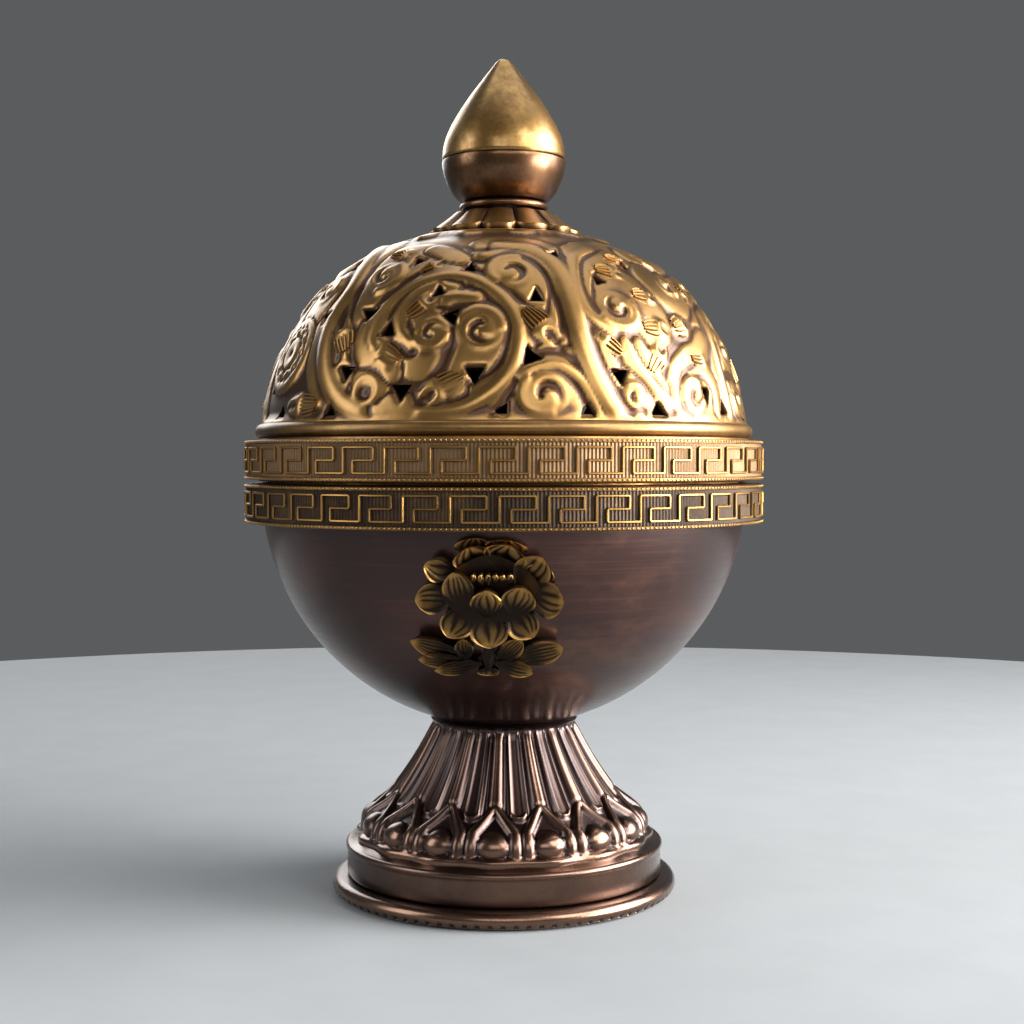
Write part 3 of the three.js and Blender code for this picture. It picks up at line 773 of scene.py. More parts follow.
def relief_height(azimuth, latitude, scale):
    """How far the pattern stands over the ground, at places in degrees.

    Each motif also swells the sheet round it, up to a crease where the next one's swell begins."""
    core = np.zeros(len(azimuth))
    swell = np.zeros((2, len(azimuth)))
    vectors = unit_vectors(np.radians(azimuth), np.radians(latitude))
    for motif in motif_list():
        margin = np.degrees(motif[:, 2].max() * SWELL_REACH / DOME_RADIUS)
        for near, distance in near_samples(motif, azimuth, latitude, vectors, margin):
            share = np.clip(1 - distance, 0, 1)
            core[near] = np.maximum(core[near], (motif[:, 3] * share ** 0.75).max(axis=1))
            wide = np.clip(1 - distance.min(axis=1) / SWELL_REACH ** 2, 0, 1)
            swell[:, near] = two_largest(swell[:, near], wide)
    for details in LEAVES:
        leaf = Leaf(*details)
        for shift in (-180, 0, 180):
            box = leaf.box[0] + shift, leaf.box[1] + shift, leaf.box[2], leaf.box[3]
            near = near_motif(azimuth, latitude, box, 6)
            if near.any():
                height = leaf.height(azimuth[near] - shift, latitude[near])
                over = smoothstep(0.45, 0.85, height / np.maximum(core[near], 0.05 * MM))
                core[near] = np.maximum(core[near] * (1 - 0.75 * over), height)
    crease = smoothstep(0.0, 0.26, swell[0] - swell[1])
    filled = SWELL_HEIGHT * swell[0] ** 0.35 * (0.15 + 0.85 * crease)
    return (np.maximum(core, filled) - groove_depth(azimuth, latitude, vectors)) * scale


def groove_depth(azimuth, latitude, vectors):
    """How deep the scrolls' grooves are at places in degrees."""
    depth = np.zeros(len(azimuth))
    for curl in SCROLLS:
        groove = scroll_groove(*curl)
        for near, distance in near_samples(groove, azimuth, latitude, vectors, 2):
            cut = (groove[:, 3] * np.clip(1 - distance, 0, 1)).max(axis=1)
            depth[near] = np.maximum(depth[near], cut)
    return depth


def two_largest(pair, value):
    """The two largest of a falling pair and one more value, place by place."""
    first = np.maximum(pair[0], value)
    second = np.maximum(pair[1], np.minimum(pair[0], value))
    return np.stack([first, second])


def dome_base_radius(latitude):
    """The dome's radius at latitudes in radians. Its crown is a little flat."""
    return DOME_RADIUS - DOME_FLATTENING * np.sin(latitude) ** CROWN_SPREAD


def piercing_corners(azimuth, latitude, width, height, turn):
    """A piercing's centre, its right and up directions, and its corners, counter-clockwise."""
    a, l = math.radians(azimuth), math.radians(latitude)
    right = np.array([math.cos(a), math.sin(a), 0])
    up = np.array([-math.sin(a) * math.sin(l), math.cos(a) * math.sin(l), math.cos(l)])
    corners = np.array([(-width / 2, -height / 3), (width / 2, -height / 3), (0, 2 * height / 3)]) * MM
    angle = math.radians(turn)
    spin = np.array([[math.cos(angle), math.sin(angle)], [-math.sin(angle), math.cos(angle)]])
    return np.cross(right, up), right, up, corners @ spin


def nearest_on_outline(places, corners):
    """The nearest outline points, and the distance from it, which is negative inside."""
    best = np.full(len(places), np.inf)
    nearest = np.zeros_like(places)
    inside = np.ones(len(places), bool)
    for start, end in zip(corners, np.roll(corners, -1, axis=0)):
        edge = end - start
        share = np.clip((places - start) @ edge / (edge @ edge), 0, 1)
        foot = start + share[:, None] * edge
        away = np.linalg.norm(places - foot, axis=1)
        offset = places - start
        inside &= edge[0] * offset[:, 1] - edge[1] * offset[:, 0] > 0
        closer = away < best
        best[closer] = away[closer]
        nearest[closer] = foot[closer]
    return nearest, np.where(inside, -best, best)


def rim_of(cut):
    """The grid points that belong both to a cut cell and to a kept one."""
    rows, columns = cut.shape
    cut_beside = np.zeros((rows + 1, columns + 1), bool)
    kept_beside = np.zeros_like(cut_beside)
    for row in (0, 1):
        for column in (0, 1):
            cut_beside[row:row + rows, column:column + columns] |= cut
            kept_beside[row:row + rows, column:column + columns] |= ~cut
    return cut_beside & kept_beside


def pierced_half(columns, latitudes):
    """A grid of directions over half the dome, with the piercings' edges snapped to.

    Returns the grid, the distance outside the nearest piercing, and which cells are left."""
    azimuths = np.radians(np.linspace(-90, 90, columns))
    latitude, azimuth = np.meshgrid(latitudes, azimuths, indexing="ij")
    grid = unit_vectors(azimuth, latitude)
    clear = np.full(grid.shape[:2], np.inf)
    kept = np.ones((len(latitudes) - 1, columns - 1), bool)
    for details in PIERCINGS:
        for shift in (-180, 0, 180):
            out, right, up, corners = piercing_corners(details[0] + shift, *details[1:])
            depth = grid @ out
            near = depth > math.cos(6 * MM / DOME_RADIUS)
            if not near.any():
                continue
            scale = DOME_RADIUS / np.maximum(depth, 0.5)[..., None]
            flat = np.stack([grid @ right, grid @ up], axis=-1) * scale
            distance = nearest_on_outline(flat[near], corners)[1]
            gap = np.full(clear.shape, np.inf)
            gap[near] = distance
            middle = (flat[:-1, :-1] + flat[1:, :-1] + flat[:-1, 1:] + flat[1:, 1:]) / 4
            close = near[:-1, :-1] & near[1:, 1:]
            cut = np.zeros(kept.shape, bool)
            cut[close] = nearest_on_outline(middle[close], corners)[1] < 0.04 * MM
            kept &= ~cut
            rim = rim_of(cut)
            spots = nearest_on_outline(flat[rim], corners)[0]
            for corner in corners:
                spots[np.argmin(np.linalg.norm(spots - corner, axis=1))] = corner
            grid[rim] = out + (spots[:, :1] * right + spots[:, 1:] * up) / DOME_RADIUS
            gap[rim] = 0
            clear = np.minimum(clear, gap)
    grid /= np.linalg.norm(grid, axis=2, keepdims=True)
    return grid, clear, kept


def blurred(field, reach):
    """A grid smoothed by running means, which wraps round along its rows."""
    ring = field[:, :-1]
    for _ in range(3):
        ring = sum(np.roll(ring, shift, axis=1) for shift in range(-reach, reach + 1)) / (2 * reach + 1)
        padded = np.pad(ring, ((reach, reach), (0, 0)), mode="edge")
        ring = sum(padded[i:i + len(ring)] for i in range(2 * reach + 1)) / (2 * reach + 1)
    return np.column_stack([ring, ring[:, :1]])


RELIEF_FOOT = 5.5  # latitudes between which the pattern lies, in degrees
RELIEF_CROWN = 64.0
GROUND_DEPTH = 0.9 * MM  # how far the ground is sunk under the dome's radius


def dome_outside(relief):
    """Points, faces and tone of the outer face of half the dome, with its piercings' walls."""
    pattern = np.radians(np.linspace(RELIEF_FOOT, RELIEF_CROWN, 104))
    crown = np.radians(np.linspace(RELIEF_CROWN, 86.5, 9)[1:])
    grid, clear, kept = pierced_half(337, np.concatenate([pattern, crown]))
    latitude = np.arcsin(grid[..., 2])
    azimuth = np.arctan2(grid[..., 0], -grid[..., 1])
    azimuth[:, -1] = math.pi / 2
    azimuth[:, 0] = -math.pi / 2
    places = np.degrees(azimuth).ravel(), np.degrees(latitude).ravel()
    height = relief_height(*places, relief / MM).reshape(latitude.shape)
    height += crown_lobes(*places).reshape(latitude.shape)
    height = 0.7 * height + 0.3 * blurred(height, 1)
    degrees = np.degrees(latitude)
    edge = 0.8 * MM
    height *= 0.45 + 0.55 * smoothstep(-0.1 * MM, 0.6 * MM, clear)
    lower = smoothstep(9.5, 6.8, degrees)
    height = height * (1 - lower) + lower * edge
    upper = smoothstep(64, 68, degrees)
    height = height * (1 - upper) + upper * edge
    cavity = (0.5 * (height - blurred(height, 4)) + 1.2 * (height - blurred(height, 2))) / MM
    tone = np.clip(0.70 + 3.4 * np.minimum(cavity, 0) + 0.8 * np.maximum(cavity, 0), 0, 1)
    radius = dome_base_radius(latitude) - GROUND_DEPTH + height
    points = grid * radius[..., None]
    inner = grid * (dome_base_radius(latitude) - DOME_WALL - 0.4 * MM)[..., None]
    rows, columns = latitude.shape
    faces = grid_faces(rows, columns)
    faces = [face for face, keep in zip(faces, kept.ravel()) if keep]
    walls = hole_walls(kept, columns, rows * columns)
    everything = np.concatenate([points.reshape(-1, 3), inner.reshape(-1, 3)])
    everything[:, 2] += DOME_CENTRE_Z
    return used_only(everything, faces + walls, np.concatenate([tone.ravel(), np.zeros(tone.size)]))


def crown_lobes(azimuth, latitude):
    """Broad rounded lobes that spread from under the collar."""
    lobe = 30.0
    across = azimuth % lobe - lobe / 2
    end = 61.5 + 4.5 * (np.abs(across) / (lobe / 2)) ** 1.4
    share = np.clip(1 - (across / (lobe * 0.5)) ** 2, 0, 1) ** 0.5
    return 0.7 * MM * share * smoothstep(end, end + 1.4, latitude)


def hole_walls(kept, columns, first_inner):
    """Quads that run in through the sheet from each edge between a cut cell and a kept one."""
    walls = []
    rows, cells = kept.shape
    for row, column in zip(*np.nonzero(~kept)):
        corner = row * columns + column
        loop = corner, corner + 1, corner + columns + 1, corner + columns
        beside = (row - 1, column), (row, column + 1), (row + 1, column), (row, column - 1)
        for i, (r, c) in enumerate(beside):
            if 0 <= r < rows and 0 <= c < cells and kept[r, c]:
                a, b = loop[i], loop[(i + 1) % 4]
                walls.append((a, b, b + first_inner, a + first_inner))
    return walls


def used_only(points, faces, tone):
    """The same mesh without the points that no face uses."""
    used = np.unique([corner for face in faces for corner in face])
    number = np.full(len(points), -1)
    number[used] = np.arange(len(used))
    return points[used], [tuple(int(number[corner]) for corner in face) for face in faces], tone[used]


def dome_inside():
    """Points, faces and tone of the inner face of half the dome."""
    latitudes = np.radians(np.linspace(0, 86.5, 56))
    grid, _, kept = pierced_half(145, latitudes)
    latitude = np.arcsin(np.clip(grid[..., 2], -1, 1))
    ripple = 0.25 * MM * np.sin(np.degrees(latitude) * 1.1)
    points = grid * (dome_base_radius(latitude) - DOME_WALL - 0.4 * MM - ripple)[..., None]
    points[..., 2] += DOME_CENTRE_Z
    faces = grid_faces(*latitude.shape)
    faces = [face[::-1] for face, keep in zip(faces, kept.ravel()) if keep]
    return used_only(points.reshape(-1, 3), faces, np.full(latitude.size, 0.25))


def vein_paths(relief):
    """The lines cut side by side in the wide end of each leaf, as ribs between the cuts."""
    paths = []
    for details in LEAVES:
        leaf = Leaf(*details)
        for across in np.linspace(-0.78, 0.78, leaf.veins):
            along = np.linspace(0.56, 0.93 - 0.16 * across ** 2, 7)
            azimuth, latitude = leaf.place(along, np.full(len(along), across))
            height = (leaf.height(azimuth, latitude) + 0.6 * VEIN_BED) * relief / MM
            direction = unit_vectors(np.radians(azimuth), np.radians(latitude))
            radius = dome_base_radius(np.radians(latitude)) - GROUND_DEPTH + height - 0.03 * MM
            paths.append(direction * radius[:, None] + np.array([0, 0, DOME_CENTRE_Z]))
    return paths


class CENSER_OT_dome(bpy.types.Operator):
    """Make the pierced and embossed dome of the lid, with its skirt and rim ring"""

    bl_idname = "censer.dome"
    bl_label = "Dome"

    def execute(self, context):
        sizes, finishes = context.scene.censer_sizes, context.scene.censer_finishes
        brass = aged_dome_brass(finishes)
        half = joined("pierced_dome", [dome_outside(sizes.relief), dome_inside()])
        whole = repeated_round(half, 2, brass)
        add_piece("pierced_dome", whole, "lid", ["lid_dome"], brass, 75)
        veins = ribbed_round("leaf_veins", vein_paths(sizes.relief), 2, sizes.vein, brass, sides=6)
        add_piece("leaf_veins", veins, "lid", ["lid_dome"], brass)
        inner = DOME_RADIUS - DOME_WALL
        skirt = [
            (inner, DOME_SKIRT_Z),
            (DOME_RADIUS - 0.2 * MM, DOME_SKIRT_Z),
            (DOME_RADIUS, DOME_SKIRT_Z + 0.2 * MM),
            (DOME_RADIUS, MOULDING_Z - 1.8 * MM),
            *arc(DOME_RADIUS - 0.9 * MM, MOULDING_Z, 1.4 * MM, -62, 75, 12),
            (DOME_RADIUS - 1.2 * MM, MOULDING_Z + 2.2 * MM),
            (inner - 0.4 * MM, MOULDING_Z + 2.2 * MM),
            (inner, DOME_CENTRE_Z),
        ]
        add_piece("dome_skirt", lathe("dome_skirt", [skirt], 192), "lid", ["lid_dome"], brass)
        ring = plain_ring("lid_rim_hoop", "lid_rim_ring")
        add_piece("lid_rim_hoop", ring, "lid", ["lid_rim_ring"], aged_ring_brass(finishes))
        return {"FINISHED"}


# ------------------------------------------------------------------ rings, bowl and pan
def shared(name, make):
    """A material that several operators use, made by the first of them."""
    return bpy.data.materials[name] if name in bpy.data.materials else make(name)


def aged_ring_brass(finishes):
    return shared("aged_ring_brass", lambda name: patinated(
        name, finishes.brass, finishes.brass_patina, roughness=(0.34, 0.55)))


def aged_dome_brass(finishes):
    return shared("aged_dome_brass", lambda name: patinated(
        name, finishes.brass, finishes.brass_patina, roughness=(0.3, 0.52), tone="tone", coat=0.35))


def plain_ring(name, node, soften=0.15 * MM, columns=128):
    """A ring with a rectangular section and eased edges, as big as its CAD node."""
    low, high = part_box(node)
    inner = ring_hole(node)
    outer = high.x
    outline = [
        (inner, low.z),
        (outer - soften, low.z),
        (outer, low.z + soften),
        (outer, high.z - soften),
        (outer - soften, high.z),
        (inner, high.z),
    ]
    return lathe(name, [outline], columns)


def ring_hole(node):
    """The radius of the hole through a turned CAD node, from its mesh."""
    return min(math.hypot(vertex.co.x, vertex.co.y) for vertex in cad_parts[node].data.vertices)


class CENSER_OT_bowl(bpy.types.Operator):
    """Make the raised copper bowl, the ring at its rim and the sleeve that locates the lid"""

    bl_idname = "censer.bowl"
    bl_label = "Bowl"

    def execute(self, context):
        finishes = context.scene.censer_finishes
        inner = BOWL_RADIUS - BOWL_WALL
        low = -90 + math.degrees(math.asin(STUD_HOLE / BOWL_RADIUS))
        outline = [
            arc(0, BOWL_CENTRE_Z, BOWL_RADIUS, low, 0, 56),
            (BOWL_RADIUS, BOWL_RIM_Z - 0.15 * MM),
            (BOWL_RADIUS - 0.15 * MM, BOWL_RIM_Z),
            (inner, BOWL_RIM_Z),
            arc(0, BOWL_CENTRE_Z, inner, 0, low - 0.1, 40),
        ]
        copper = bowl_copper(finishes)
        add_piece("raised_bowl", lathe("raised_bowl", outline, 192), "base", ["bowl"], copper)
        brass = aged_ring_brass(finishes)
        hoop = plain_ring("bowl_rim_hoop", "bowl_rim_ring")
        add_piece("bowl_rim_hoop", hoop, "base", ["bowl_rim_ring"], brass)
        dull = patinated(
            "aged_sleeve_brass", finishes.brass, finishes.brass_patina, roughness=(0.4, 0.65))
        sleeve = plain_ring("locating_sleeve", "lid_locating_sleeve")
        add_piece("locating_sleeve", sleeve, "base", ["lid_locating_sleeve"], dull)
        return {"FINISHED"}


class CENSER_OT_pan(bpy.types.Operator):
    """Make the loose charcoal pan with its rolled rim"""

    bl_idname = "censer.pan"
    bl_label = "Charcoal Pan"

    def execute(self, context):
        finishes = context.scene.censer_finishes
        low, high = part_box("charcoal_pan")
        roll = 0.6 * MM
        rim = high.x - roll
        rim_z = high.z - roll
        outside = smoothed(
            [(0, low.z), (14 * MM, low.z), (17 * MM, low.z + 0.3 * MM), (23 * MM, 38.3 * MM),
             (27.4 * MM, 41.6 * MM), (rim - 0.2 * MM, rim_z - roll)], 40)
        inside = outside[::-1] + np.array([-0.35 * MM, 0.75 * MM])
        inside[:, 0] = np.maximum(inside[:, 0], 0)
        inside[-1] = (0, low.z + 0.8 * MM)
        outside[0, 0] = 0
        outline = [outside, arc(rim, rim_z, roll, -60, 190, 12), inside[2:]]
        mesh = lathe("charcoal_pan_sheet", outline, 128)
        add_piece("charcoal_pan_sheet", mesh, "pan", ["charcoal_pan"], sooty_brass(finishes))
        return {"FINISHED"}


def sooty_brass(finishes):
    """Brass that heat has browned, greyest where the charcoal lies."""
    material, nodes, place = shader("sooty_brass")
    flat = nodes.stretch(place, (1, 1, 0))
    reach = nodes.add("ShaderNodeVectorMath", {"operation": "LENGTH"}, {0: flat}, output=1)
    blotches = nodes.noise(place, 140, detail=6, roughness=0.65)
    burnt = (reach + blotches * 0.012).step(0.030, 0.012)
    browned = nodes.mix(blotches.step(0.3, 0.7), finishes.brass_patina, finishes.brass)
    surface = {
        "Base Color": nodes.mix(burnt * 0.85, browned, (0.045, 0.042, 0.040)),
        "Metallic": 1 - burnt * 0.5,
        "Roughness": 0.45 + burnt * 0.3,
    }
    finish_surface(nodes, surface, nodes.noise(place, 700, detail=4), 0.4)
    return material


# ------------------------------------------------------------------ key-pattern bands
def on_cylinder(arc_length, height, radius, start=0.0):
    angle = np.asarray(arc_length) / BAND_RADIUS - math.pi / 2 + start
    reach = np.broadcast_to(radius, angle.shape)
    height = np.broadcast_to(height, angle.shape)
    return np.stack([reach * np.cos(angle), reach * np.sin(angle), height], axis=-1)


def key_path(pitch, height, bottom, start):
    """One repeat of the key pattern, as a line bent round the band."""
    turns = [(0, 0), (0, 1), (0.74, 1), (0.74, 0.5), (0.24, 0.5), (0.24, 0), (1, 0)]
    corners = [np.array([x * pitch, bottom + y * height]) for x, y in turns]
    ease = 0.16 * MM
    points = [corners[0]]
    for before, corner, after in zip(corners, corners[1:], corners[2:]):
        points.append(corner + ease * (before - corner) / math.dist(before, corner))
        points.append(corner + ease * (after - corner) / math.dist(after, corner))
    points.append(corners[-1])
    fine = [points[0]]
    for here, there in zip(points, points[1:]):
        steps = max(int(abs(there[0] - here[0]) / (1.2 * MM)), 1)
        fine += [here + (there - here) * (i + 1) / steps for i in range(steps)]
    line = np.array(fine)
    return on_cylinder(line[:, 0], line[:, 1], BAND_RADIUS - 0.02 * MM, start)


def strip_unit(pitch, bottom, top):
    """One repeat of the strip: a ribbed ground between two plain lips, closed behind."""
    lip = 0.55 * MM
    sunk = 0.3 * MM
    heights = [bottom, bottom + 0.12 * MM, bottom + lip, bottom + lip + 0.1 * MM,
               *np.linspace(bottom + lip + 0.6 * MM, top - lip - 0.6 * MM, 5),
               top - lip - 0.1 * MM, top - lip, top - 0.12 * MM, top]
    depths = [0.12 * MM, 0, 0, sunk, *[sunk] * 5, sunk, 0, 0, 0.12 * MM]
    ribs = 12
    columns = ribs * 2 + 1
    across = np.linspace(0, pitch, columns)
    rib = np.where(np.arange(columns) % 2 == 0, 0.0, 1.0) * 0.09 * MM
    rows = [on_cylinder(across, height, BAND_RADIUS - depth + rib * (depth == sunk)) for height, depth
            in zip(heights, depths)]
    back = BAND_RADIUS - BAND_SHEET
    rows += [on_cylinder(across, top, back), on_cylinder(across, bottom, back)]
    tones = [0.3, 0.35, 0.3, 0.0, *[0.1] * 5, 0.0, 0.3, 0.35, 0.3, 0, 0]
    tone = np.repeat(tones, columns) + np.tile(rib / MM * 1.5, len(rows))
    return np.concatenate(rows), grid_faces(len(rows), columns, closed_rows=True), tone


def bead_unit(pitch, count, heights):
    """The little beads along a strip's edges, in one repeat."""
    parts = []
    for height in heights:
        for i in range(count):
            parts.append(small_bead((i + 0.5) * pitch / count, height, 0.24 * MM, 0.22 * MM))
    return parts


def small_bead(along, height, half_width, rise):
    """A low round bead of a few faces on the band."""
    rings = 3
    sides = 8
    around = np.arange(sides) * TURN / sides
    points = []
    for i in range(rings):
        lean = i / rings * math.pi / 2
        reach = math.cos(lean)
        x = along + half_width * reach * np.cos(around)
        z = height + half_width * 0.9 * reach * np.sin(around)
        points.append(on_cylinder(x, z, BAND_RADIUS - 0.05 * MM + rise * math.sin(lean)))
    points.append(on_cylinder([along], height, BAND_RADIUS - 0.05 * MM + rise))
    faces = grid_faces(rings, sides, closed_columns=True)
    last = (rings - 1) * sides
    faces += [(last + i, last + (i + 1) % sides, rings * sides) for i in range(sides)]
    points = np.concatenate(points)
    return points, faces, np.full(len(points), 0.95)


class CENSER_OT_key_bands(bpy.types.Operator):
    """Make the two patterned strips round the joint between the bowl and the lid"""

    bl_idname = "censer.key_bands"
    bl_label = "Key-Pattern Bands"

    def execute(self, context):
        sizes, finishes = context.scene.censer_sizes, context.scene.censer_finishes
        pitch = TURN * BAND_RADIUS / sizes.keys
        for node, body, name, start, ground in (
            ("lid_key_band", "lid", "upper_key_strip", -0.5, finishes.upper_ground),
            ("bowl_key_band", "base", "lower_key_strip", 3.4, finishes.lower_ground),
        ):
            bottom, top = heights_of(node)
            brass = patinated(name, finishes.brass, ground, roughness=(0.34, 0.55), tone="tone", speckle=0.5)
            beads = bead_unit(pitch, sizes.beads_per_key, (bottom + 0.3 * MM, top - 0.3 * MM))
            unit = joined(name, [strip_unit(pitch, bottom, top), *beads])
            add_piece(name, repeated_round(unit, sizes.keys, brass), body, [node], brass, 30)
            low = (bottom + top - sizes.key_height) / 2
            path = key_path(pitch, sizes.key_height, low, math.radians(start))
            keys = ribbed_round(name + "_keys", [path], sizes.keys, sizes.key_line, brass, 6)
            add_piece(name + "_keys", keys, body, [node], brass, 30)
        return {"FINISHED"}


# ------------------------------------------------------------------ foot
# The foot's side, from its plinth up: radius and height, in millimetres.
FOOT_OUTLINE = ((26.2, 9.8), (25.3, 13.6), (20.9, 17.4), (16.7, 23.1), (13.1, 29.5), (13.3, 30.8))
SPLIT_Z = 18.6  # where each ridge forks
LEG_Z = 14.8  # where the fork's legs are widest apart
TONGUE_Z = 17.6  # where the tongue between two ridges starts to round off


def flute_height(phase, z):
    """How far the foot's surface stands out, in millimetres, at shares of one flute and heights.

    A ridge comes down each flute and forks round a bump; a tongue hangs between the ridges."""
    edge = 0.5 - np.abs(phase)
    upper = smoothstep(SPLIT_Z - 1.2, SPLIT_Z + 0.4, z)
    ridge = 1.0 * np.clip(1 - (phase / 0.19) ** 2, 0, 1) ** 0.6 * upper
    crease = 0.16 * smoothstep(0.05, 0.0, np.abs(phase)) * upper
    below = np.maximum(TONGUE_Z - z, 0) / 5.5
    tongue_reach = np.hypot(edge, below)
    tongue = 0.45 * np.clip(1 - (tongue_reach / 0.21) ** 2, 0, 1) ** 0.5
    tongue += 0.45 * np.exp(-((tongue_reach - 0.155) / 0.042) ** 2)
    fork = 0.39 * np.clip((SPLIT_Z - z) / (SPLIT_Z - LEG_Z), 0, 1)
    leg = 0.9 * np.clip(1 - ((np.abs(phase) - fork) / 0.12) ** 2, 0, 1) ** 0.5
    leg *= smoothstep(SPLIT_Z + 0.8, SPLIT_Z - 0.4, z) * smoothstep(9.8, 10.9, z)
    bump_up = (z - 12.7) / 2.6
    bump = 1.2 * np.clip(1 - (phase / 0.29) ** 2 - bump_up ** 2, 0, 1) ** 0.55
    hem = (1.45 + 0.3 * np.cos(TURN * phase)) * np.clip(1 - ((z - 10.1) / 1.0) ** 2, 0, 1) ** 0.6
    return np.maximum.reduce([ridge - crease, tongue, leg, bump, hem])


def foot_unit(flutes):
    """One flute of the foot: its embossed outer face and its plain inner one."""
    outline = smoothed(np.array(FOOT_OUTLINE) * MM, 84)
    outline = np.concatenate([[(outline[0, 0], heights_of("foot_shell")[0])], outline])
    phase = np.linspace(-0.5, 0.5, 33)
    angle = phase * TURN / flutes - math.pi / 2
    along = np.gradient(outline, axis=0)
    normal = np.stack([along[:, 1], -along[:, 0]], axis=1)
    normal /= np.linalg.norm(normal, axis=1, keepdims=True)
    wave = flute_height(phase[None, :], outline[:, 1:] / MM)
    fade = smoothstep(9.0, 9.5, outline[:, 1] / MM) * smoothstep(30.8, 28.6, outline[:, 1] / MM)
    height = (wave - 0.72) * fade[:, None]
    radius = outline[:, :1] + normal[:, :1] * height * MM
    z = outline[:, 1:] + normal[:, 1:] * height * MM
    outer = np.stack([radius * np.cos(angle), radius * np.sin(angle), z + 0 * radius], axis=2)
    tone = np.clip(0.12 + 0.5 * wave ** 2, 0, 1) * (0.35 + 0.65 * fade[:, None])
    inside = (outline - normal * 1.6 * MM)[::-4]
    radius, z = inside[:, :1], inside[:, 1:] + 0 * angle
    inner = np.stack([radius * np.cos(angle), radius * np.sin(angle), z], axis=2)
    rows = np.concatenate([outer, inner])
    tones = np.concatenate([tone, np.zeros(inner.shape[:2])])
    faces = grid_faces(len(rows), len(phase), closed_rows=True)
    return rows.reshape(-1, 3), faces, tones.ravel()


def bead_ring_unit(ticks):
    """The half-round bead under one cut mark."""
    low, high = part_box("foot_bead_ring")
    half = (high.z - low.z) / 2
    centre = high.x - half
    inner = ring_hole("foot_bead_ring")
    section = np.concatenate([[(inner, low.z)], arc(centre, half, half, -90, 90, 22), [(inner, high.z)]])
    phase = np.linspace(-0.5, 0.5, 9)
    angle = phase * TURN / ticks - math.pi / 2
    lean = np.degrees(np.arctan2(section[:, 1] - half, section[:, 0] - centre))
    marked = smoothstep(-58, -48, lean) * smoothstep(-16, -26, lean) * (section[:, 0] > centre - 0.01 * MM)
    cut = np.outer(marked, smoothstep(0.24, 0.12, np.abs(phase)))
    radius = section[:, :1] - cut * 0.32 * MM
    points = np.stack([radius * np.cos(angle), radius * np.sin(angle), section[:, 1:] + 0 * radius], axis=2)
    wear_and_shade = np.clip(0.5 + 0.4 * np.cos(np.radians(lean + 20)), 0, 1)
    tone = wear_and_shade[:, None] * (1 - cut)
    return points.reshape(-1, 3), grid_faces(len(section), len(phase), closed_rows=True), tone.ravel()


def hexagon(angle):
    """The reach of the censer's hexagon nuts at each angle."""
    flat_reach = 3.46 * MM
    return flat_reach / np.cos((angle + math.pi / 6) % (math.pi / 3) - math.pi / 6)


def nut(name, node):
    low, high = heights_of(node)
    ease = 0.45 * MM
    reach = radius_of(node)
    outline = [
        (STUD_HOLE, low), (reach * 0.9, low), (reach, low + ease),
        (reach, high - ease), (reach * 0.9, high), (STUD_HOLE, high),
    ]
    return lathe(name, [outline], 48, hexagon)


def domed_stud(name, node, head_z):
    """A round-headed stud that is threaded below its head."""
    low, high = heights_of(node)
    head = radius_of(node)
    shank = STUD_HOLE - GAP
    pitch = 0.8 * MM
    threads = int((head_z - low - 1 * MM) / pitch)
    thread = [(shank - (0.28 * MM if i % 2 else 0), low + 0.4 * MM + i * pitch / 2)
              for i in range(threads * 2)]
    dome = [(head * math.cos(t), head_z + 0.3 * MM + (high - head_z - 0.3 * MM) * math.sin(t))
            for t in np.linspace(0, math.pi / 2, 9)]
    dome[-1] = (0, high)
    outline = [(0, low), (shank - 0.4 * MM, low), *thread, (shank, head_z), (head, head_z), *dome]
    return lathe(name, [outline], 48)


def plated_steel(finishes):
    dull = [part * 0.3 for part in finishes.steel]
    return shared("plated_steel", lambda name: patinated(name, finishes.steel, dull, roughness=(0.35, 0.6)))


def aged_foot_copper(finishes):
    return shared("aged_foot_copper", lambda name: patinated(
        name, finishes.copper_rubbed, finishes.copper, roughness=(0.22, 0.4), tone="tone", coat=0.7))


class CENSER_OT_foot(bpy.types.Operator):
    """Make the fluted foot with its plinth, its bead and the fixing inside it"""

    bl_idname = "censer.foot"
    bl_label = "Foot"

    def execute(self, context):
        sizes, finishes = context.scene.censer_sizes, context.scene.censer_finishes
        copper = aged_foot_copper(finishes)
        shell = repeated_round(joined("fluted_foot", [foot_unit(sizes.flutes)]), sizes.flutes, copper)
        add_piece("fluted_foot", shell, "base", ["foot_shell"], copper, 60)
        bead = joined("foot_bead", [bead_ring_unit(sizes.ticks)])
        bead = repeated_round(bead, sizes.ticks, copper)
        add_piece("foot_bead", bead, "base", ["foot_bead_ring"], copper, 60)
        low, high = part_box("foot_plinth_band")
        inner = ring_hole("foot_plinth_band") - 0.28 * MM
        outer = high.x
        outline = [
            (inner, low.z),
            (outer - 0.5 * MM, low.z),
            (outer - 0.25 * MM, low.z + 0.5 * MM),
            (outer - 0.35 * MM, high.z - 2.4 * MM),
            arc(outer - 0.7 * MM, high.z - 1.35 * MM, 0.7 * MM, -45, 80, 9),
            (outer - 1.3 * MM, high.z - 0.75 * MM),
            (inner + 0.6 * MM, high.z - 0.15 * MM),
            (inner, high.z),
        ]
        add_piece("foot_plinth", lathe("foot_plinth", outline, 160), "base", ["foot_plinth_band"],
                  copper)
        steel = plated_steel(finishes)
        add_piece("clamp_disc", plain_ring("clamp_disc", "foot_clamp_washer"), "base", ["foot_clamp_washer"],
                  steel)
        head_z = BOWL_CENTRE_Z - BOWL_RADIUS + BOWL_WALL + GAP + 0.2 * MM
        add_piece("foot_stud", domed_stud("foot_stud", "foot_bolt", head_z), "base", ["foot_bolt"],
                  steel)
        add_piece("foot_hex_nut", nut("foot_hex_nut", "foot_nut"), "base", ["foot_nut"], steel)
        return {"FINISHED"}


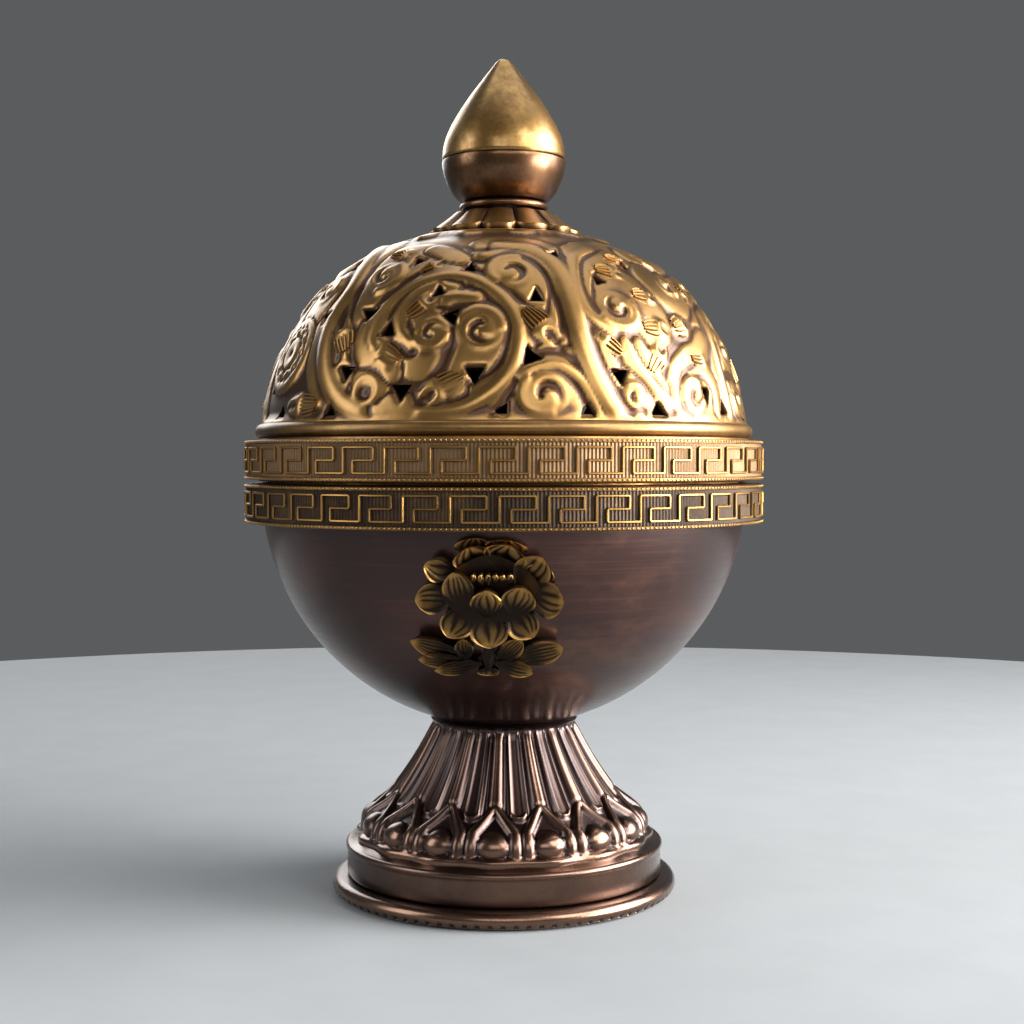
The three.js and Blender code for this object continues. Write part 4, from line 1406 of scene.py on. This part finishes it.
# ------------------------------------------------------------------ lotus badges
FLOWER_LATITUDE = -21
BADGE_GAP = 0.4 * MM  # clearance behind the badge
FOOT_OF_PETAL = 0.86  # how wide a petal is where its edge meets the bowl, as a share


def on_bowl(across, up, lift):
    """Places on the bowl's front, in metres from the flower's middle, lifted off the bowl."""
    latitude = math.radians(FLOWER_LATITUDE) + up / BOWL_RADIUS
    azimuth = across / (BOWL_RADIUS * np.cos(latitude))
    points = unit_vectors(azimuth, latitude) * (BOWL_RADIUS + lift)[..., None]
    points[..., 2] += BOWL_CENTRE_Z
    return points


def petal(base, tip, half_width, rise, cup=0.7, veins=5, bluntness=1.35, root=0.35, wear_and_shade=1):
    """One cast petal or leaf: a cupped and veined face with its edge turned down to the bowl.

    Base, tip, half width and rise are in millimetres. Cup is how far its middle sinks.
    The higher the bluntness, the squarer the tip."""
    base, tip = np.array(base, float), np.array(tip, float)
    length = math.dist(base, tip)
    axis = (tip - base) / length
    side = np.array([-axis[1], axis[0]])
    along = np.sin(np.linspace(0.0, math.pi / 2, 17))[:, None]
    across = np.linspace(-1, 1, 33)[None, :]
    width = half_width * (np.sin(np.pi * (0.08 + 0.92 * along) ** bluntness) ** 0.7 + 0.03)
    face = base + along[..., None] * length * axis + (across * width)[..., None] * side
    swell = root + (1 - root) * np.sin(np.pi * 0.62 * along)
    hollow = cup * (1 - across ** 2) * np.sin(np.pi * along) ** 0.7
    wander = 0.9 * np.sin(3 * across + 2 * tip[0] + 4 * along) + 1.4 * along
    cut = np.cos(np.pi * veins * across / 2 + wander) ** 6
    cut = cut * smoothstep(0.05, 0.3, along) * smoothstep(1, 0.8, along)
    lift = rise * swell - hollow - 0.16 * cut
    rows, columns = lift.shape
    first = rows * columns
    grid = np.arange(first).reshape(rows, columns)
    edge = np.concatenate([grid[0, :], grid[1:-1, -1], grid[-1, ::-1], grid[-2:0:-1, 0]])
    count = len(edge)
    middle = base + 0.5 * length * axis
    upper = face.reshape(-1, 2)
    lower = middle + (upper[edge] - middle) * FOOT_OF_PETAL
    flat = np.concatenate([upper, lower])
    heights = np.concatenate([lift.ravel(), np.zeros(count)])
    points = on_bowl(flat[:, 0] * MM, flat[:, 1] * MM, heights * MM + BADGE_GAP)
    faces = [quad[::-1] for quad in grid_faces(rows, columns)]
    for i in range(count):
        after = (i + 1) % count
        faces.append((int(edge[i]), int(edge[after]), first + after, first + i))
    # Each petal's tone is darkest at its root, painted shade where it tucks under its neighbours, and
    # brightest along its rim and tip, partly rubbed edge and partly painted highlight; the cut veins are
    # darker.
    rim = np.maximum(np.abs(across) * smoothstep(0.15, 0.55, along), along + 0 * across)
    tone = 0.08 + 0.4 * smoothstep(0.1, 0.8, along) + 0.4 * smoothstep(0.8, 1.0, rim) - 0.3 * cut
    # Below 1 this scale darkens the whole petal: on the dish it is painted shade.
    tone = wear_and_shade * np.clip(tone, 0, 1)
    return points, faces, np.concatenate([tone.ravel(), np.zeros(count)])


# Petals and leaf lobes: where each is rooted, where its tip is, and its half width, in
# millimetres across and up from the flower's middle.
OUTER_PETALS = (
    ((-0.8, 3.6), (-2.2, 7.3), 2.9),
    ((2.6, 3.4), (4.0, 7.7), 3.2),
    ((5.4, 0.2), (8.8, 5.8), 2.8),
    ((6.6, -1.0), (12.0, -1.5), 3.0),
    ((4.0, -3.2), (7.2, -7.6), 2.5),
    ((0.5, -3.4), (0.6, -9.6), 2.8),
    ((-2.6, -2.6), (-5.7, -7.6), 2.5),
    ((-4.6, -0.8), (-10.5, -1.2), 2.5),
    ((-4.0, 2.6), (-8.8, 4.6), 2.0),
)
BACK_PETALS = (
    ((-1.2, 5.8), (-1.4, 8.6), 3.0),
    ((3.4, 5.6), (3.8, 8.3), 3.2),
    ((7.4, 0.6), (9.6, 4.2), 2.4),
)
INNER_PETALS = (
    ((-2.8, -2.6), (-4.4, 3.6), 2.3),
    ((4.3, -3.9), (5.9, 1.3), 2.5),
)
LEAF_LOBES = (
    ((4.0, -13.2), (11.8, -9.8), 2.4),
    ((1.6, -13.6), (5.4, -8.2), 1.7),
    ((1.0, -13.6), (7.0, -15.4), 1.6),
    ((-3.2, -12.6), (-12.0, -8.8), 1.8),
    ((-3.8, -13.0), (-11.0, -12.6), 1.5),
    ((-3.6, -13.2), (-3.4, -8.2), 1.5),
    ((-1.0, -13.8), (-8.5, -15.0), 1.5),
)


def badge_parts():
    """The petals, bud, stamens, stem and leaves of one badge."""
    parts = [petal(base, tip, width, 1.3, cup=0.4, wear_and_shade=0.7) for base, tip, width in BACK_PETALS]
    parts += [petal(base, tip, width, 2.2, cup=1.0, veins=4) for base, tip, width in OUTER_PETALS]
    # The dish is a dark cupped plate behind the inner petals: its low tone is painted shade for the shadowed
    # groove round them.
    dish = petal((1.0, -5.0), (1.2, 6.2), 7.4, 1.7, cup=1.1, veins=0, bluntness=1, root=0.9, wear_and_shade=0.15)
    parts.append(dish)
    parts += [petal(base, tip, width, 2.8, cup=0.6, veins=5, root=0.5)
              for base, tip, width in INNER_PETALS]
    parts.append(petal((0.4, -3.9), (0.4, 0.9), 2.3, 3.0, cup=-0.3, veins=5, root=0.6))
    parts += [petal((x, 1.5 + 0.3 * math.sin(5 * x)), (x * 1.1, 3.2), 0.5, 2.3, cup=-0.3, veins=1, root=0.8)
              for x in np.linspace(-1.3, 3.8, 6)]
    parts += [petal(base, tip, width, 1.7, cup=0.5, veins=6, root=0.5)
              for base, tip, width in LEAF_LOBES]
    parts.append(petal((0, -15.6), (0.5, -9.2), 0.9, 1.1, cup=-0.3, veins=1, root=0.9, wear_and_shade=0.4))
    parts.append(petal((0, -14.6), (0, -16.2), 1.7, 1.4, cup=0.2, veins=4, root=0.7))
    return parts


class CENSER_OT_badges(bpy.types.Operator):
    """Make the cast lotus badges on the front and the back of the bowl"""

    bl_idname = "censer.badges"
    bl_label = "Lotus Badges"

    def execute(self, context):
        finishes = context.scene.censer_finishes
        dark = [part * 0.6 for part in finishes.lower_ground]
        bronze = patinated("aged_badge_bronze", finishes.brass, dark, roughness=(0.3, 0.45), tone="tone")
        for name, node, turn in (("front_lotus", "lotus_front", 1), ("back_lotus", "lotus_back", -1)):
            parts = [(part[0] * np.array([turn, turn, 1]), part[1], part[2]) for part in badge_parts()]
            mesh = welded(joined(name, parts), 0.001 * MM, outwards=True)
            add_piece(name, mesh, "base", [node], bronze, 70)
        return {"FINISHED"}


# ------------------------------------------------------------------ crown and finial
# The collar's slope, from its neck out: radius and height, in millimetres.
COLLAR_PROFILE = ((7.8, 122.3), (9.0, 121.3), (10.7, 119.9), (13.3, 118.0))


def collar_unit(petals):
    """One petal of the collar, arched across and scalloped at its edge."""
    phase = np.linspace(-0.5, 0.5, 25)[None, :]
    along = np.linspace(0, 1, 22)[:, None]
    profile = smoothed(np.array(COLLAR_PROFILE) * MM, 40)
    scallop = 1 - 0.34 * (2 * np.abs(phase)) ** 2.6
    reach = along * scallop
    radius = profile[0, 0] + reach * (profile[-1, 0] - profile[0, 0] + 0.4 * MM)
    base = np.interp(radius, profile[:, 0], profile[:, 1])
    arch = np.clip(1 - (2 * phase) ** 2, 0, 1) ** 0.5
    rise = (0.95 * arch * smoothstep(0, 0.25, along) - 0.15) * MM
    angle = phase * TURN / petals - math.pi / 2
    outer = np.stack([radius * np.cos(angle), radius * np.sin(angle), base + rise], axis=2)
    under = outer[-1:] * np.array([0.985, 0.985, 1]) - np.array([0, 0, 0.9 * MM])
    hidden = under * np.array([0.6, 0.6, 1])
    rows = np.concatenate([outer, under, hidden])[::-1]
    tone = np.clip(0.1 + 0.6 * arch ** 2 + 0.25 * smoothstep(0.85, 1, along), 0, 1)
    tones = np.concatenate([tone, np.zeros((2, phase.shape[1]))])[::-1]
    return rows.reshape(-1, 3), grid_faces(len(rows), phase.shape[1]), tones.ravel()


class CENSER_OT_collar(bpy.types.Operator):
    """Make the collar of petals that lies on the crown of the dome"""

    bl_idname = "censer.collar"
    bl_label = "Petal Collar"

    def execute(self, context):
        sizes, finishes = context.scene.censer_sizes, context.scene.censer_finishes
        brass = aged_dome_brass(finishes)
        petals = joined("crown_petals", [collar_unit(sizes.collar_petals)])
        mesh = repeated_round(petals, sizes.collar_petals, brass)
        add_piece("crown_petals", mesh, "lid", ["petal_collar"], brass, 60)
        return {"FINISHED"}


def finial_brass(name, bright, bump=0.25):
    """The finial's brass, mottled with its own darker shade."""
    dull = [part * share for part, share in zip(bright, (0.42, 0.34, 0.26))]
    return patinated(name, bright, dull, roughness=(0.22, 0.45), coat=0.4, speckle=0.55, bump=bump)


# Outlines of the finial's two halves: radius and height, in millimetres.
CUP_OUTLINE = ((7.7, 124.2), (8.6, 124.9), (9.7, 126.4), (10.75, 128.9), (11.15, 130.9), (11.1, 131.5))
CONE_OUTLINE = ((10.95, 131.8), (11.1, 132.1), (10.8, 134.5), (9.9, 137), (8.5, 139.6), (6.4, 142.8),
                (4.3, 145.6), (2.2, 148.3), (1.1, 149.6), (0, 150))
FINIAL_WALL = 0.9 * MM
SPIGOT_DEPTH = 2.1 * MM  # how far the cone plugs into the cup
SPIGOT_INSET = 1.4 * MM
TIP_DEPTH = 5 * MM  # solid metal at the cone's tip


class CENSER_OT_finial(bpy.types.Operator):
    """Make the finial's neck, cup and cone, and the stud, washer and nut that hold it"""

    bl_idname = "censer.finial"
    bl_label = "Finial"

    def execute(self, context):
        finishes = context.scene.censer_finishes
        gold = finial_brass("bright_finial_brass", finishes.gold)
        brown = finial_brass("brown_finial_brass", finishes.brown)
        lumpy = finial_brass("lumpy_neck_brass", finishes.brown, bump=1.0)
        steel = plated_steel(finishes)
        low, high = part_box("finial_neck_ring")
        half = (high.z - low.z) / 2
        bead = arc(high.x - half, low.z + half, half, -90, 90, 11)
        neck = lathe("finial_neck", [(STUD_HOLE, low.z), bead, (STUD_HOLE, high.z)], 96)
        add_piece("finial_neck", neck, "lid", ["finial_neck_ring"], lumpy)
        low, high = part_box("finial_cup")
        side = smoothed(np.array(CUP_OUTLINE) * MM, 30)
        floor_z = low.z + FINIAL_WALL
        inside = [(side[-1, 0] - FINIAL_WALL, high.z), (9.2 * MM, 128.8 * MM), (7.2 * MM, floor_z),
                  (STUD_HOLE, floor_z)]
        cup = lathe("finial_cup_sheet", [(STUD_HOLE, low.z), side, inside], 128)
        add_piece("finial_cup_sheet", cup, "lid", ["finial_cup"], brown)
        low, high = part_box("finial_cone")
        seam = low.z + SPIGOT_DEPTH
        outside = smoothed(np.array(CONE_OUTLINE) * MM, 60)
        outside[-1] = (0, high.z)
        spigot = high.x - SPIGOT_INSET
        hollow = spigot - FINIAL_WALL
        inside = [(0, high.z - TIP_DEPTH), (hollow, seam), (hollow, low.z), (spigot, low.z), (spigot, seam)]
        cone = lathe("finial_cone_sheet", [inside, outside], 128)
        add_piece("finial_cone_sheet", cone, "lid", ["finial_cone"], gold)
        head_z = heights_of("finial_cup")[0] + FINIAL_WALL + GAP
        stud = domed_stud("finial_stud_rod", "finial_stud", head_z)
        add_piece("finial_stud_rod", stud, "lid", ["finial_stud"], steel)
        washer = plain_ring("finial_disc", "finial_washer", columns=64)
        add_piece("finial_disc", washer, "lid", ["finial_washer"], steel)
        hexagonal = nut("finial_hex_nut", "finial_nut")
        add_piece("finial_hex_nut", hexagonal, "lid", ["finial_nut"], steel)
        return {"FINISHED"}


# ------------------------------------------------------------------ stage
def area_light(name, place, target, width, height, power, colour, spread=180):
    lamp = bpy.data.lights.new(name, "AREA")
    lamp.shape = "RECTANGLE"
    lamp.size = width
    lamp.size_y = height
    lamp.energy = power
    lamp.spread = math.radians(spread)
    lamp.color = colour
    holder = bpy.data.objects.new(name, lamp)
    bpy.context.scene.collection.objects.link(holder)
    holder.location = place
    holder.rotation_euler = (Vector(target) - Vector(place)).to_track_quat("-Z", "Y").to_euler()


FLOOR_REACH = 0.39
CAMERA_REACH = 0.3  # from the censer's axis
CAMERA_HEIGHT = 77.6 * MM
CAMERA_HEADING = 4.3  # degrees from the front towards +X
CAMERA_DIP = 1.8  # degrees under the horizontal
CAMERA_SWING = 0.28  # degrees to the right of the axis


def plain_sheet(name, corners, colour, roughness):
    mesh = bpy.data.meshes.new(name)
    mesh.from_pydata(corners, [], [tuple(range(len(corners)))])
    material, nodes, place = shader(name)
    grain = nodes.noise(place, 60, detail=4)
    surface = {
        "Base Color": nodes.mix(grain.step(0.3, 0.7), [part * 0.96 for part in colour], colour),
        "Roughness": roughness,
        "Specular IOR Level": 0.0,
    }
    nodes.end_in(nodes.add("ShaderNodeBsdfPrincipled", None, surface))
    mesh.materials.append(material)
    sheet = bpy.data.objects.new(name, mesh)
    bpy.context.scene.collection.objects.link(sheet)


class CENSER_OT_stage(bpy.types.Operator):
    """Set up the floor, the plain surroundings, the lights and the camera"""

    bl_idname = "censer.stage"
    bl_label = "Stage"

    def execute(self, context):
        finishes = context.scene.censer_finishes
        around = np.arange(128) * TURN / 128
        edge = [(FLOOR_REACH * math.cos(t), FLOOR_REACH * math.sin(t), -0.2 * MM) for t in around]
        plain_sheet("floor", edge, finishes.floor, 1.0)
        context.scene.view_settings.view_transform = "Standard"
        world = bpy.data.worlds.new("studio")
        world.use_nodes = True
        world.node_tree.nodes.clear()
        nodes = Nodes(world.node_tree)
        sky = nodes.add("ShaderNodeBackground", None, {"Color": (0.105, 0.108, 0.11, 1), "Strength": 1.0})
        nodes.end_in(sky, "ShaderNodeOutputWorld")
        context.scene.world = world
        middle = (0, 0, 0.08)
        area_light("window", (0.60, 0.04, 0.30), middle, 0.5, 0.5, 4.7, (1, 0.99, 0.98), spread=100)
        area_light("low", (0.45, -0.10, 0.08), (0, 0, 0.03), 0.3, 0.14, 3.2, (1, 0.99, 0.97))
        area_light("key", (0.50, -0.38, 0.45), middle, 0.3, 0.4, 3.5, (1, 0.98, 0.95))
        area_light("fill", (-0.60, -0.25, 0.30), middle, 0.3, 0.5, 1.9, (0.93, 0.96, 1))
        area_light("back", (-0.30, 0.65, 0.40), middle, 0.5, 0.4, 2.2, (1, 1, 1))
        area_light("top", (0.05, 0.10, 0.65), middle, 0.6, 0.5, 1.3, (1, 1, 1))
        area_light("front", (0.10, -0.75, 0.40), middle, 0.6, 0.3, 1.6, (1, 1, 1))
        camera = bpy.data.cameras.new("camera")
        camera.lens = 57.97
        camera.sensor_width = 36
        holder = bpy.data.objects.new("camera", camera)
        context.scene.collection.objects.link(holder)
        heading = math.radians(CAMERA_HEADING)
        holder.location = (
            CAMERA_REACH * math.sin(heading), -CAMERA_REACH * math.cos(heading), CAMERA_HEIGHT)
        holder.rotation_euler = (
            math.radians(90 - CAMERA_DIP), 0, heading - math.radians(CAMERA_SWING))
        context.scene.camera = holder
        return {"FINISHED"}


# ------------------------------------------------------------------ panel and run
OPERATORS = (
    CENSER_OT_stage,
    CENSER_OT_foot,
    CENSER_OT_bowl,
    CENSER_OT_badges,
    CENSER_OT_pan,
    CENSER_OT_key_bands,
    CENSER_OT_dome,
    CENSER_OT_collar,
    CENSER_OT_finial,
)


class CENSER_PT_build(bpy.types.Panel):
    """Buttons that make each part of the censer"""

    bl_idname = "CENSER_PT_build"
    bl_label = "Censer"
    bl_space_type = "VIEW_3D"
    bl_region_type = "UI"
    bl_category = "Censer"

    def draw(self, context):
        for group in (context.scene.censer_sizes, context.scene.censer_finishes):
            for name in group.__annotations__:
                self.layout.prop(group, name)
        for operator in OPERATORS:
            self.layout.operator(operator.bl_idname)


CLASSES = (CenserSizes, CenserFinishes, *OPERATORS, CENSER_PT_build)


def register():
    for each in CLASSES:
        bpy.utils.register_class(each)
    bpy.types.Scene.censer_sizes = PointerProperty(type=CenserSizes)
    bpy.types.Scene.censer_finishes = PointerProperty(type=CenserFinishes)


def unregister():
    del bpy.types.Scene.censer_finishes
    del bpy.types.Scene.censer_sizes
    for each in reversed(CLASSES):
        bpy.utils.unregister_class(each)


def main():
    register()
    for operator in OPERATORS:
        group, action = operator.bl_idname.split(".")
        getattr(getattr(bpy.ops, group), action)()


if __name__ == "__main__":
    main()
